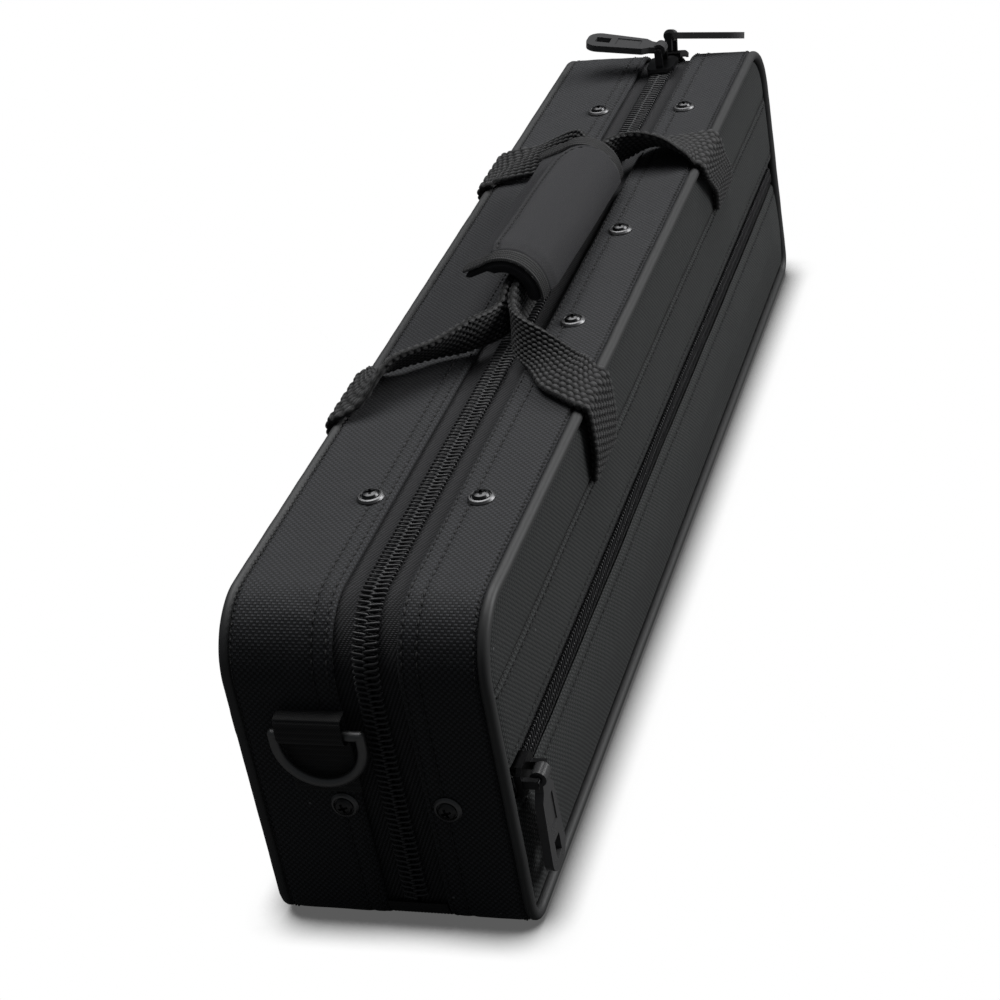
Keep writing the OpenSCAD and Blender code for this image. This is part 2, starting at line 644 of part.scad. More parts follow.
g0 = grip_x - grip_len / 2;
g1 = grip_x + grip_len / 2;
bind_w = 7;
module grip_wrap() color([0.06, 0.06, 0.07]) along_grip(g0, g1) union() {
  layer(-2.2, 0, 186);
  polygon(concat(arch(-1, lip_a, 186, 24), arch(-grip_t, 186, lip_a, 24)));
}
module grip_flap() color([0.06, 0.06, 0.07])
  along_grip(g0 + bind_w + soft_gap, g1 - bind_w - 1)
  polygon(concat(arch(1.6, lip_a + 2, 183, 28), arch(0.2, 183, lip_a + 2, 28)));
module grip_binding() color([0.08, 0.08, 0.08]) {
  along_grip(g0, g0 + bind_w) layer(0.2, 1.2, 184);
  along_grip(g1 - bind_w, g1) layer(0.2, 1.2, 184);
}

base_shell();
base_wall_foam();
base_gusset();
base_face_cover();
base_piping();
base_zip_tape();
base_zip_coil();
foam_cradle();
base_screws();
base_cup_washers();
near_ring_tab();
far_ring_tab();
near_d_ring();
far_d_ring();
hinge_tape();
lid_shell();
lid_wall_foam();
lid_gusset();
lid_piping();
lid_zip_tape();
lid_zip_coil();
lid_pad();
lid_screws();
lid_cup_washers();
pocket_lining();
pocket_top_panel();
pocket_upper_panel();
pocket_lower_panel();
pocket_tape_upper();
pocket_tape_lower();
pocket_coil_upper();
pocket_coil_lower();
pocket_slider();
pocket_pull();
main_slider_a();
main_pull_a();
main_slider_b();
main_pull_b();
base_strap();
lid_strap();
grip_wrap();
grip_flap();
grip_binding();
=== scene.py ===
# %% [markdown]
# # A zipped flute case in black cloth
# This lesson dresses a finished CAD model of a flute case. The CAD gives every piece its place, its
# size and its joints. Blender adds what the eye notices: woven cloth, a coiled zip, web handles,
# stitches, piping and dark metal. Each cell makes one piece or one finish, and says why it is made so.

# %% Load the frame
import math

import bmesh
import bpy
import numpy as np
from mathutils import Matrix, Vector, noise


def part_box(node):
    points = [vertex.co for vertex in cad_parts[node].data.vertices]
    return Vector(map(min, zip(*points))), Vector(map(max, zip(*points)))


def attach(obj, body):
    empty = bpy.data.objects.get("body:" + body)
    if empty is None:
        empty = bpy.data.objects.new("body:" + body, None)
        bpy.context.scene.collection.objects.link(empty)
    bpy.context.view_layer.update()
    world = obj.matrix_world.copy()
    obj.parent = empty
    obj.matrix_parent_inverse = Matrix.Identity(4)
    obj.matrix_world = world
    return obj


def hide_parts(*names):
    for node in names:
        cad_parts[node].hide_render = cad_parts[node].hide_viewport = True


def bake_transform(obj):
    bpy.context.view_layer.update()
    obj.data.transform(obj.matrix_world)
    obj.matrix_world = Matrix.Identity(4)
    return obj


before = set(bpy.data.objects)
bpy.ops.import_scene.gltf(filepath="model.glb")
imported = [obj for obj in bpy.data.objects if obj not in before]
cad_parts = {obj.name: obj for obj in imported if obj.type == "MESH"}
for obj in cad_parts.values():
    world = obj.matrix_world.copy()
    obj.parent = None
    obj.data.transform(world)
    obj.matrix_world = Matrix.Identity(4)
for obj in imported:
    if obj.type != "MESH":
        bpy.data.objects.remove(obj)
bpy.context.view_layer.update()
MM = 0.001

# %% [markdown]
# ## Sizes read from the frame
# The boxes of a few CAD nodes give the case's outline, the beads of piping and the plane of the zip.
# The sizes written in millimetres are those of the CAD model's own corners, seams and zips.

# %% Read the driving sizes
gusset_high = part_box("base_gusset")[1]
piping_low, piping_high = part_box("base_piping")

HALF_LENGTH = gusset_high.x
HEIGHT = gusset_high.z
CORNER_R = 21.8 * MM
FOOT_R = 9 * MM
BEAD_R = (piping_high.y - piping_low.y) / 2
BEAD_Y = (piping_high.y + piping_low.y) / 2
ZIP_Y = (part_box("base_zip_coil")[0].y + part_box("lid_zip_coil")[1].y) / 2
ZIP_END_Z = 9 * MM
ZIP_HALF = 9.4 * MM
SEAM_Z = 80.3 * MM
POCKET_Z = 47.8 * MM
FACE_Y = BEAD_Y + 0.5 * MM
STRAIGHT_X = HALF_LENGTH - CORNER_R
FOOT_X = HALF_LENGTH - FOOT_R
STRAIGHT_Z = HEIGHT - CORNER_R - FOOT_R
ARC = math.pi / 2 * CORNER_R
FOOT_ARC = math.pi / 2 * FOOT_R
PERIMETER = 2 * (STRAIGHT_X + FOOT_X + STRAIGHT_Z + ARC + FOOT_ARC)
HALVES = (("base", 1), ("lid", -1))
print("half length, height, zip plane:", HALF_LENGTH, HEIGHT, ZIP_Y)

# %% [markdown]
# ## The camera
# The photograph was taken from above the near end, with a long lens and a slight roll. The three
# directions below are the camera's own axes.

# %% Place the camera
scene = bpy.context.scene
camera_data = bpy.data.cameras.new("photo_camera")
camera = bpy.data.objects.new("photo_camera", camera_data)
scene.collection.objects.link(camera)
camera_place = Vector((-0.686547, -0.235778, 0.441920))
look = Vector((0.80612627, 0.31151656, -0.50310822))
right = Vector((0.26701083, -0.95022797, -0.16053666))
up = Vector((0.52807733, 0.00492253, 0.84918202))
camera.matrix_world = Matrix((
    (right.x, up.x, -look.x, camera_place.x),
    (right.y, up.y, -look.y, camera_place.y),
    (right.z, up.z, -look.z, camera_place.z),
    (0, 0, 0, 1)))
camera_data.sensor_width = 36
camera_data.lens = 84.204
camera_data.clip_start = 0.01
camera_data.clip_end = 50
scene.camera = camera
scene.view_settings.view_transform = "Standard"
print("camera at", camera_place)

# %% [markdown]
# ## Helpers for node trees
# A material is a small graph. These helpers add a node, set its sockets by name and link it, so that
# each finish below reads as a short recipe.

# %% Node helpers
def fill_sockets(tree, made, sockets):
    """Sets sockets by name, or by number as i0, i1 and so on. A value that is an output is linked."""
    for key, value in sockets.items():
        by_number = key[0] == "i" and key[1:].isdigit()
        socket = made.inputs[int(key[1:]) if by_number else key.replace("_", " ")]
        if isinstance(value, bpy.types.NodeSocket):
            tree.links.new(value, socket)
        else:
            socket.default_value = value
    return made


def add_node(tree, kind, settings=None, **sockets):
    """Adds a node, sets its properties and fills its sockets."""
    made = tree.nodes.new(kind)
    for key, value in (settings or {}).items():
        setattr(made, key, value)
    return fill_sockets(tree, made, sockets)


def maths(tree, operation, a, b=0.0, clamp=False):
    """One Math node; a and b are numbers or outputs."""
    made = add_node(tree, "ShaderNodeMath", {"operation": operation, "use_clamp": clamp}, i0=a, i1=b)
    return made.outputs[0]


def plus(tree, a, b, clamp=False):
    return maths(tree, "ADD", a, b, clamp)


def times(tree, a, b):
    return maths(tree, "MULTIPLY", a, b)


def vector_maths(tree, operation, a, **sockets):
    made = add_node(tree, "ShaderNodeVectorMath", {"operation": operation}, i0=a, **sockets)
    return made.outputs[0]


def grain(tree, place, scale, detail, **sockets):
    """The value of a noise texture."""
    made = add_node(tree, "ShaderNodeTexNoise", None, Vector=place, Scale=scale, Detail=detail, **sockets)
    return made.outputs[0]


def mix_colours(tree, amount, dark, light):
    """Between two colours, each three numbers or an output."""
    dark, light = [(*c, 1) if isinstance(c, tuple) else c for c in (dark, light)]
    made = add_node(tree, "ShaderNodeMix", {"data_type": "RGBA"}, i0=amount, i6=dark, i7=light)
    return made.outputs[2]


def new_group(name, inputs, outputs):
    """A node group of float values. An input whose value is None is a vector."""
    group = bpy.data.node_groups.new(name, "ShaderNodeTree")
    for label, value in inputs:
        kind = "NodeSocketVector" if value is None else "NodeSocketFloat"
        socket = group.interface.new_socket(label, in_out="INPUT", socket_type=kind)
        if value is not None:
            socket.default_value = value
    for label in outputs:
        group.interface.new_socket(label, in_out="OUTPUT", socket_type="NodeSocketFloat")
    source, result = group.nodes.new("NodeGroupInput"), group.nodes.new("NodeGroupOutput")
    return group, source.outputs, result.inputs


def new_material(name):
    """A material with its tree, its shader and its texture coordinates."""
    made = bpy.data.materials.new(name)
    made.use_nodes = True
    t = made.node_tree
    return made, t, t.nodes["Principled BSDF"], add_node(t, "ShaderNodeTexCoord").outputs


def finish_shader(tree, shader, height, bump, distance, **sockets):
    """Gives the shader a bump from a height, and fills its other sockets."""
    relief = add_node(tree, "ShaderNodeBump", None, Strength=bump, Distance=distance, Height=height)
    fill_sockets(tree, shader, {"Normal": relief.outputs[0], **sockets})


print("node helpers ready")

# %% [markdown]
# ## Woven threads as a node group
# Every cloth on the case is woven. One group draws threads that pass over and under each other: it
# takes a flat coordinate in metres, the number of threads per metre and the length of the repeat.
# A repeat of 4 gives the diagonal of a twill, a repeat of 2 a plain weave. Besides a height for the
# bump, it gives a tone that paints a highlight on the crowns and shade in the gaps.

# %% The weave group
def build_weave():
    t, source, out = new_group("woven_threads", (
        ("Vector", None), ("Threads", 2400.0), ("Repeat", 4.0), ("Wander", 0.15)), ("Height", "Painted highlight and shade"))
    wobble = add_node(t, "ShaderNodeTexNoise", None, Vector=source["Vector"], Scale=900.0, Detail=2.0)
    centred = vector_maths(t, "SUBTRACT", wobble.outputs["Color"], i1=(0.5, 0.5, 0.5))
    drift = vector_maths(t, "SCALE", centred, Scale=source["Wander"])
    scaled = vector_maths(t, "SCALE", source["Vector"], Scale=source["Threads"])
    moved = vector_maths(t, "ADD", scaled, i1=drift)
    ways = add_node(t, "ShaderNodeSeparateXYZ", None, Vector=moved).outputs
    cell = plus(t, maths(t, "FLOOR", ways[0]), maths(t, "FLOOR", ways[1]))
    phase = maths(t, "FLOORED_MODULO", cell, source["Repeat"])
    over = maths(t, "LESS_THAN", phase, times(t, source["Repeat"], 0.5))
    round_a, round_b = [maths(t, "SINE", times(t, maths(t, "FRACT", way), math.pi)) for way in ways[:2]]
    warp = times(t, round_a, plus(t, times(t, round_b, 0.35), 0.65))
    weft = times(t, round_b, plus(t, times(t, round_a, 0.35), 0.65))
    under = times(t, times(t, weft, 0.72), maths(t, "SUBTRACT", 1.0, over))
    picked = plus(t, times(t, warp, over), under)
    t.links.new(picked, out["Height"])
    # Painted light: this tone is a painted highlight on the crowns of the threads that lie on top and painted
    # shade in the gaps.
    t.links.new(plus(t, times(t, over, 0.8), times(t, picked, 0.2)), out["Painted highlight and shade"])
    return t


woven_threads = build_weave()
print("group:", woven_threads.name)

# %% [markdown]
# ## Wear and dust as a node group
# No cloth is one colour. This group adds broad, faint changes of tone and sparse bright specks of lint,
# and it works in the object's own space so that it does not depend on how a mesh was cut.

# %% The wear group
def build_wear():
    t, source, out = new_group("tone_and_lint", (("Vector", None), ("Patch size", 22.0), ("Lint", 0.5)),
                               ("Tone", "Lint mask"))
    broad = grain(t, source["Vector"], source["Patch size"], 4.0)
    fine = grain(t, source["Vector"], 1400.0, 1.0)
    t.links.new(plus(t, times(t, broad, 0.7), times(t, fine, 0.3)), out["Tone"])
    specks = add_node(t, "ShaderNodeTexVoronoi", None, Vector=source["Vector"], Scale=90.0).outputs
    small = maths(t, "LESS_THAN", specks["Distance"], 0.035)
    chance = add_node(t, "ShaderNodeSeparateXYZ", None, Vector=specks["Color"]).outputs[0]
    rare = maths(t, "GREATER_THAN", chance, 0.86)
    t.links.new(times(t, times(t, small, rare), source["Lint"]), out["Lint mask"])
    return t


tone_and_lint = build_wear()
print("group:", tone_and_lint.name)

# %% [markdown]
# ## Cloth finishes
# The covers are a coated nylon in plain weave. Its threads catch light on their crowns, so the recipe
# paints a highlight into the colour there and lowers the roughness there, paints shade into the gaps
# between threads, and adds a bump. The same recipe, with other numbers, serves the pocket, the grip,
# the zip's tape, all webs and the lining.

# %% Cloth recipe
LINT_COLOUR = (0.35, 0.35, 0.36)


def cloth(name, dark, light, threads, repeat, bump, roughness=0.7, lint=0.5, shade_lump_gaps=False):
    """A woven cloth: dark is painted shade in the gaps between threads, light a painted highlight on the
    threads' crowns. With the lump flag set, the mesh's own attribute "crown", how high each point stands
    in its weave, also darkens the colour towards its gaps as painted shade."""
    made, t, shader, place = new_material(name)
    weave = add_node(t, "ShaderNodeGroup", {"node_tree": woven_threads}, Vector=place["UV"],
                     Threads=threads, Repeat=repeat).outputs
    wear = add_node(t, "ShaderNodeGroup", {"node_tree": tone_and_lint}, Vector=place["Object"],
                    Lint=lint).outputs
    amount = plus(t, times(t, weave["Painted highlight and shade"], 0.85), times(t, wear["Tone"], 0.15), clamp=True)
    if shade_lump_gaps:
        # Painted shade: the colour darkens towards the gaps between the web's raised cells.
        crown = add_node(t, "ShaderNodeAttribute", {"attribute_name": "crown"}).outputs["Fac"]
        amount = times(t, maths(t, "POWER", crown, 2.6), plus(t, times(t, amount, 0.5), 0.5))
    # The thread colour: painted shade in the gaps and a painted highlight on the crowns.
    painted_thread_colour = mix_colours(t, amount, dark, light)
    finish_shader(t, shader, weave["Height"], bump, 0.0003,
                  Base_Color=mix_colours(t, wear["Lint mask"], painted_thread_colour, LINT_COLOUR),
                  Roughness=plus(t, roughness, times(t, weave["Height"], -0.14)),
                  Sheen_Weight=0.12, Sheen_Roughness=0.5, Specular_IOR_Level=0.35)
    return made


cover_twill = cloth("cover_twill", (0.003, 0.003, 0.003), (0.050, 0.052, 0.059), 1087, 2, 0.45)
pocket_twill = cloth("pocket_twill", (0.001, 0.002, 0.002), (0.068, 0.073, 0.073), 1087, 2, 0.45)
grip_twill = cloth("grip_twill", (0.014, 0.014, 0.016), (0.045, 0.045, 0.050), 2600, 2, 0.35, lint=0.3)
zip_tape_cloth = cloth("zip_tape_cloth", (0.000, 0.000, 0.000), (0.066, 0.066, 0.072), 3390, 4, 0.7)
rib_web = cloth("rib_web", (0.010, 0.010, 0.010), (0.050, 0.050, 0.051), 2600, 2, 0.3)
binding_web = cloth("binding_web", (0.014, 0.014, 0.014), (0.080, 0.080, 0.082), 2600, 2, 0.3)
strap_web = cloth("strap_web", (0.001, 0.001, 0.001), (0.135, 0.135, 0.138), 4200, 4, 0.4, 0.55, shade_lump_gaps=True)
lining_cloth = cloth("lining_cloth", (0.008, 0.008, 0.009), (0.025, 0.025, 0.028), 2800, 2, 0.3)
print("materials after the cloths:", len(bpy.data.materials))

# %% [markdown]
# ## Plush
# The cradle and the lid pad are covered in short plush. Its pile is too fine for geometry, so a dense
# noise tilts the normal and mottles the colour, and a strong sheen gives the soft bright rim.

# %% Plush recipe
def plush(name, dark, light):
    made, t, shader, place = new_material(name)
    pile = grain(t, place["Object"], 1800.0, 3.0)
    nap = grain(t, place["Object"], 38.0, 5.0, Distortion=0.6)
    tone = plus(t, times(t, pile, 0.5), times(t, nap, 0.5))
    finish_shader(t, shader, pile, 0.7, 0.0006, Base_Color=mix_colours(t, tone, dark, light),
                  Roughness=0.95, Sheen_Weight=0.7, Sheen_Roughness=0.35)
    return made


black_plush = plush("black_plush", (0.008, 0.008, 0.010), (0.045, 0.045, 0.055))
print("plush:", black_plush.name)

# %% [markdown]
# ## Plastics and metals
# The coil, the piping and the pulls are smooth plastics with a little uneven gloss. The screws, rings
# and sliders are metal under a dark plate, whose roughness varies with handling marks.

# %% Plastic and metal recipes
HANDLED = (0.2, 0.2, 0.2)


def moulded(name, colour, roughness, mottle=0.25, scale=300.0, bump=0.08):
    made, t, shader, place = new_material(name)
    fine = grain(t, place["Object"], scale, 4.0)
    broad = grain(t, place["Object"], 25.0, 3.0)
    finish_shader(t, shader, fine, bump, 0.0002,
                  Base_Color=mix_colours(t, times(t, broad, mottle), colour, HANDLED),
                  Roughness=plus(t, roughness - 0.06, times(t, fine, 0.14)))
    return made


def plated(name, colour, roughness):
    made = moulded(name, colour, roughness, mottle=0.12, scale=420.0, bump=0.05)
    made.node_tree.nodes["Principled BSDF"].inputs["Metallic"].default_value = 1.0
    return made


coil_nylon = moulded("coil_nylon", (0.052, 0.052, 0.055), 0.34, mottle=0.1)
piping_vinyl = moulded("piping_vinyl", (0.060, 0.061, 0.062), 0.5, mottle=0.12)
pull_plastic = moulded("pull_plastic", (0.085, 0.085, 0.087), 0.24, mottle=0.08)
shell_board = moulded("shell_board", (0.020, 0.020, 0.021), 0.6, scale=900.0, bump=0.3)
wall_foam = moulded("wall_foam", (0.030, 0.030, 0.031), 0.9, scale=1500.0, bump=0.8)
stitch_thread = moulded("stitch_thread", (0.005, 0.005, 0.006), 0.7, scale=2500.0, bump=0.6)
black_nickel = plated("black_nickel", (0.085, 0.085, 0.087), 0.30)
washer_nickel = plated("washer_nickel", (0.22, 0.22, 0.224), 0.42)
slider_zinc = plated("slider_zinc", (0.060, 0.060, 0.063), 0.3)
ring_steel = plated("ring_steel", (0.26, 0.26, 0.262), 0.46)
print("materials:", len(bpy.data.materials))

# %% [markdown]
# ## The outline of the case
# Piping, covers, tapes and coils all follow one rounded rectangle. `outline_at` walks it by length,
# from the middle of the bottom towards the near end, over the top and back along the bottom, and gives
# a point and the direction that faces out of the case there.

# %% Walk the outline
def turn_point(cx, cz, radius, angle):
    nx, nz = math.cos(angle), math.sin(angle)
    return cx + radius * nx, cz + radius * nz, nx, nz


TURN_Z = HEIGHT - CORNER_R
# Each stretch: its length, and a rule from the length walked to a point and the way outwards.
STRETCHES = [
    (FOOT_X, lambda t: (-t, 0, 0, -1)),
    (FOOT_ARC, lambda t: turn_point(-FOOT_X, FOOT_R, FOOT_R, -math.pi / 2 - t / FOOT_R)),
    (STRAIGHT_Z, lambda t: (-HALF_LENGTH, FOOT_R + t, -1, 0)),
    (ARC, lambda t: turn_point(-STRAIGHT_X, TURN_Z, CORNER_R, math.pi - t / CORNER_R)),
    (2 * STRAIGHT_X, lambda t: (t - STRAIGHT_X, HEIGHT, 0, 1)),
    (ARC, lambda t: turn_point(STRAIGHT_X, TURN_Z, CORNER_R, math.pi / 2 - t / CORNER_R)),
    (STRAIGHT_Z, lambda t: (HALF_LENGTH, TURN_Z - t, 1, 0)),
    (FOOT_ARC, lambda t: turn_point(FOOT_X, FOOT_R, FOOT_R, -t / FOOT_R)),
    (FOOT_X, lambda t: (FOOT_X - t, 0, 0, -1))]


def outline_at(s):
    s = s % PERIMETER
    for length, rule in STRETCHES:
        if s <= length:
            return rule(s)
        s -= length
    return rule(length)


def outline_steps(s_from, s_to, straight=2.5 * MM, turn=1.0 * MM):
    """Lengths along the outline, closer together round the corners."""
    steps, s = [], s_from
    while s < s_to - 1e-9:
        steps.append(s)
        _, _, nx, nz = outline_at(s + turn)
        s += straight if abs(nx) + abs(nz) < 1.0001 else turn
    return steps + [s_to]


def length_at_height(z):
    """Where the outline passes height z on the near end."""
    return FOOT_X + FOOT_ARC + (z - FOOT_R)


ZIP_FROM = length_at_height(ZIP_END_Z)
ZIP_TO = PERIMETER - ZIP_FROM
print("outline:", round(PERIMETER, 4), "zip from", round(ZIP_FROM, 4), "to", round(ZIP_TO, 4))

# %% [markdown]
# ## Making and owning a mesh
# One helper turns rows of points into a smooth surface with a flat coordinate in metres, which keeps
# every weave at its true scale. A second gives the piece its finish and its body, and hides the CAD node
# that it stands for. Small rules for unevenness and dips serve every cloth.

# %% Mesh helpers
def uneven(*place):
    return noise.noise(Vector(place))


def bell(distance, width):
    """1 at no distance, falling smoothly to 0 over the width."""
    t = distance / width
    return math.exp(-t * t)


def dress(obj, material, body, node=None):
    obj.data.materials.clear()
    obj.data.materials.append(material)
    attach(obj, body)
    if node:
        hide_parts(node)
    return obj


def mesh_from(name, points, faces, uv=None):
    mesh = bpy.data.meshes.new(name)
    mesh.from_pydata([tuple(p) for p in points], [], faces)
    if uv is not None:
        layer = mesh.uv_layers.new(name="flat")
        loops = np.zeros(len(mesh.loops), dtype=np.int64)
        mesh.loops.foreach_get("vertex_index", loops)
        layer.data.foreach_set("uv", np.asarray(uv, dtype=np.float32)[loops].ravel())
    mesh.polygons.foreach_set("use_smooth", [True] * len(mesh.polygons))
    mesh.update()
    obj = bpy.data.objects.new(name, mesh)
    scene.collection.objects.link(obj)
    return obj


def rows_to_faces(rows, columns, closed_rows=False, closed_columns=False, offset=0):
    faces = []
    for i in range(rows if closed_rows else rows - 1):
        for j in range(columns if closed_columns else columns - 1):
            a = offset + i * columns + j
            b = offset + i * columns + (j + 1) % columns
            c = offset + ((i + 1) % rows) * columns + (j + 1) % columns
            d = offset + ((i + 1) % rows) * columns + j
            faces.append((a, b, c, d))
    return faces


def face_outwards(obj):
    work = bmesh.new()
    work.from_mesh(obj.data)
    bmesh.ops.recalc_face_normals(work, faces=work.faces)
    work.to_mesh(obj.data)
    work.free()
    return obj


def sweep_strip(name, profile, steps, lift=None, lean=1.0):
    """A strip that follows the outline: profile is a list of (y, depth below the cover). A lean
    other than 1 stretches its cloth's pattern along the strip, and a negative one mirrors it."""
    run = [0.0]
    for a, b in zip(profile, profile[1:]):
        run.append(run[-1] + math.hypot(b[0] - a[0], b[1] - a[1]))
    points, uv = [], []
    for s in steps:
        x, z, nx, nz = outline_at(s)
        for k, (y, depth) in enumerate(profile):
            out = -depth + (lift(s, y) if lift else 0)
            points.append((x + nx * out, y, z + nz * out))
            uv.append((s * lean, run[k]))
    return mesh_from(name, points, rows_to_faces(len(steps), len(profile)), uv)


print("mesh helpers ready")

# %% [markdown]
# ## Cover strips along the zip
# Each half of the case has a strip of cloth round it. Its edge along the zip is folded under and sewn
# down twice; its other edge disappears into the piping's seam. The cloth is pulled over a hard wall, so
# it only dips a little along the stitches and ripples faintly between them.

# %% Cover strips
ROW_NEAR, ROW_FAR = 10.9 * MM, 15.3 * MM
STITCH_PITCH = 3.0 * MM
# Points of the profile as (distance from the edge, depth below the cover), in millimetres.
FOLD = ((3.0, 1.9), (1.0, 1.95), (0.25, 1.7), (0, 1.1), (0.2, 0.5), (0.6, 0.15), (1.1, 0.02))
TUCK = ((1.6, 0.05), (0.9, 0.22), (0.4, 0.6), (0, 1.3))


def ripple(s, y):
    """Faint unevenness of the pulled cloth, with a dip along each row of stitches."""
    value = 0.22 * MM * uneven(s * 55, y * 60, 3.1)
    value += 0.10 * MM * uneven(s * 260, y * 190, 8.7)
    pucker = 0.75 + 0.25 * math.sin(2 * math.pi * s / STITCH_PITCH)
    for row, depth in ((ROW_NEAR, 0.20), (ROW_FAR, 0.34)):
        value -= depth * MM * pucker * bell(abs(y - ZIP_Y) - row, 0.8 * MM)
    return value


def cover_profile(side):
    """From the fold's hidden edge over the fold and across to the piping's seam."""
    fold = ZIP_Y + side * ZIP_HALF
    seam = side * (BEAD_Y - BEAD_R + 0.25 * MM)
    points = [(fold + side * across * MM, depth * MM) for across, depth in FOLD]
    y = fold + side * 1.6 * MM
    while side * y < side * seam - 2.2 * MM:
        points.append((y, 0.0))
        y += side * 0.55 * MM
    return points + [(seam - side * across * MM, depth * MM) for across, depth in TUCK]


def cover_lift(s, y):
    """The ripple, which ends at both edges of the strip and on the flat bottom."""
    _, z, _, nz = outline_at(s)
    on_floor = z < 10 * MM and nz < -0.9
    between = abs(y - ZIP_Y) > ZIP_HALF + 1.2 * MM and abs(y) < BEAD_Y - 4 * MM
    return ripple(s, y) if between and not on_floor else 0.0


cover_steps = outline_steps(0, PERIMETER, straight=1.0 * MM, turn=0.8 * MM)
for half, side in HALVES:
    strip = sweep_strip(half + "_cover_strip", cover_profile(side), cover_steps, cover_lift)
    dress(strip, cover_twill, half, half + "_gusset")

# %% [markdown]
# ## Rows of stitches
# A stitch is a short, fat thread that dips into the cloth at both ends. Each row is one mesh of small
# rounded bars, laid by a rule that says where the row runs.

# %% Stitch rows
THREAD_R = 0.27 * MM
BAR_ENDS = (0, 5)


def stitch_mesh(name, spots, length=2.2 * MM):
    """spots is a list of (middle, direction, outward). Each stitch is a bent six-sided bar."""
    points, faces, uv = [], [], []
    for middle, direction, outward in spots:
        d, n = Vector(direction).normalized(), Vector(outward).normalized()
        side = d.cross(n)
        start = len(points)
        for k, t in enumerate((-0.5, -0.36, -0.12, 0.12, 0.36, 0.5)):
            bow = THREAD_R * (1.1 - 9.0 * t * t)
            thick = THREAD_R * (0.55 if k in BAR_ENDS else 1.0)
            centre = Vector(middle) + d * t * length + n * bow
            for a in range(6):
                turn = a * math.pi / 3
                points.append(centre + side * thick * math.cos(turn) + n * thick * math.sin(turn))
                uv.append((t * length, a * THREAD_R))
        faces += rows_to_faces(6, 6, closed_columns=True, offset=start)
        faces.append(tuple(start + a for a in reversed(range(6))))
        faces.append(tuple(start + 30 + a for a in range(6)))
    return mesh_from(name, points, faces, uv)


def outline_stitches(y, s_from, s_to, pitch, lift):
    spots, s = [], s_from
    while s < s_to:
        x, z, nx, nz = outline_at(s)
        out = ripple(s, y) + lift
        spots.append(((x + nx * out, y, z + nz * out), (-nz, 0, nx), (nx, 0, nz)))
        s += pitch
    return spots


def zip_stitches(side):
    spots = []
    for row in (ROW_NEAR, ROW_FAR):
        spots += outline_stitches(ZIP_Y + side * row, ZIP_FROM - 4 * MM, ZIP_TO + 4 * MM, STITCH_PITCH,
                                  0.05 * MM)
    return spots


def piping_stitches(side):
    """The piping's seam shows as short dark dashes along the edge of the strip."""
    y = side * (BEAD_Y - BEAD_R - 0.55 * MM)
    return outline_stitches(y, 0, PERIMETER, 2.2 * MM, -0.30 * MM)


for kind, rule, length in (("zip", zip_stitches, 2.2 * MM), ("edge", piping_stitches, 1.5 * MM)):
    for half, side in HALVES:
        spots = rule(side)
        dress(stitch_mesh(f"{half}_{kind}_stitches", spots, length), stitch_thread, half)
        print(half, kind, "stitches:", len(spots))

# %% [markdown]
# ## Piping
# Piping is a cord wrapped in a strip of vinyl and sewn into the seam between strip and face. It is
# swept as a round bead that wanders a little, and it shows a joint where its ends overlap.

# %% Piping beads
BEAD_SIDES = 14
JOINT_S = ZIP_FROM + 62 * MM


def piping_bead(name, side):
    steps = outline_steps(0, PERIMETER, straight=2.0 * MM, turn=1.0 * MM)[:-1]
    points, uv = [], []
    for s in steps:
        x, z, nx, nz = outline_at(s)
        r, wander = BEAD_R, 0.0
        if nz >= -0.2:
            swell = 1.0 + 0.03 * uneven(s * 160, side * 9.0, 4.0)
            r = BEAD_R * swell * (1.05 if abs(s - JOINT_S) < 4 * MM and side > 0 else 1.0)
            wander = 0.10 * MM * uneven(s * 70, side * 5.0, 1.0)
        for k in range(BEAD_SIDES):
            a = 2 * math.pi * k / BEAD_SIDES
            out = -BEAD_R + r * math.sin(a)
            points.append((x + nx * out, side * BEAD_Y + wander + r * math.cos(a), z + nz * out))
            uv.append((s, k / BEAD_SIDES * 2 * math.pi * BEAD_R))
    faces = rows_to_faces(len(steps), BEAD_SIDES, closed_rows=True, closed_columns=True)
    return mesh_from(name, points, faces, uv)


for half, side in HALVES:
    bead = dress(piping_bead(half + "_piping_bead", side), piping_vinyl, half, half + "_piping")
    print(half, "piping rings:", len(bead.data.vertices) // BEAD_SIDES)

# %% [markdown]
# ## Face panels
# A face panel is cloth over thin foam, held all round by the piping's seam. It is made as columns of
# points whose ends follow the rounded outline, so the rounded corners come out exact. The cloth sinks
# next to the seam and swells gently towards the middle.

# %% Panel helper
EDGE = 3.75 * MM


def column_ends(x, inset):
    """The lowest and highest z of the panel at x."""
    ends = []
    for radius in (FOOT_R, CORNER_R):
        r = radius - inset
        past = abs(x) - (HALF_LENGTH - radius)
        ends.append(inset + (r - math.sqrt(max(r * r - past * past, 0)) if past > 0 else 0))
    return ends[0], HEIGHT - ends[1]


def edge_distance(x, z):
    """Distance from the piping's seam, inside the panel."""
    radius = CORNER_R if z > HEIGHT / 2 else FOOT_R
    qx = abs(x) - (HALF_LENGTH - radius)
    qz = abs(z - HEIGHT / 2) - (HEIGHT / 2 - radius)
    outside = math.hypot(max(qx, 0), max(qz, 0)) + min(max(qx, qz), 0)
    return (radius - EDGE) - outside


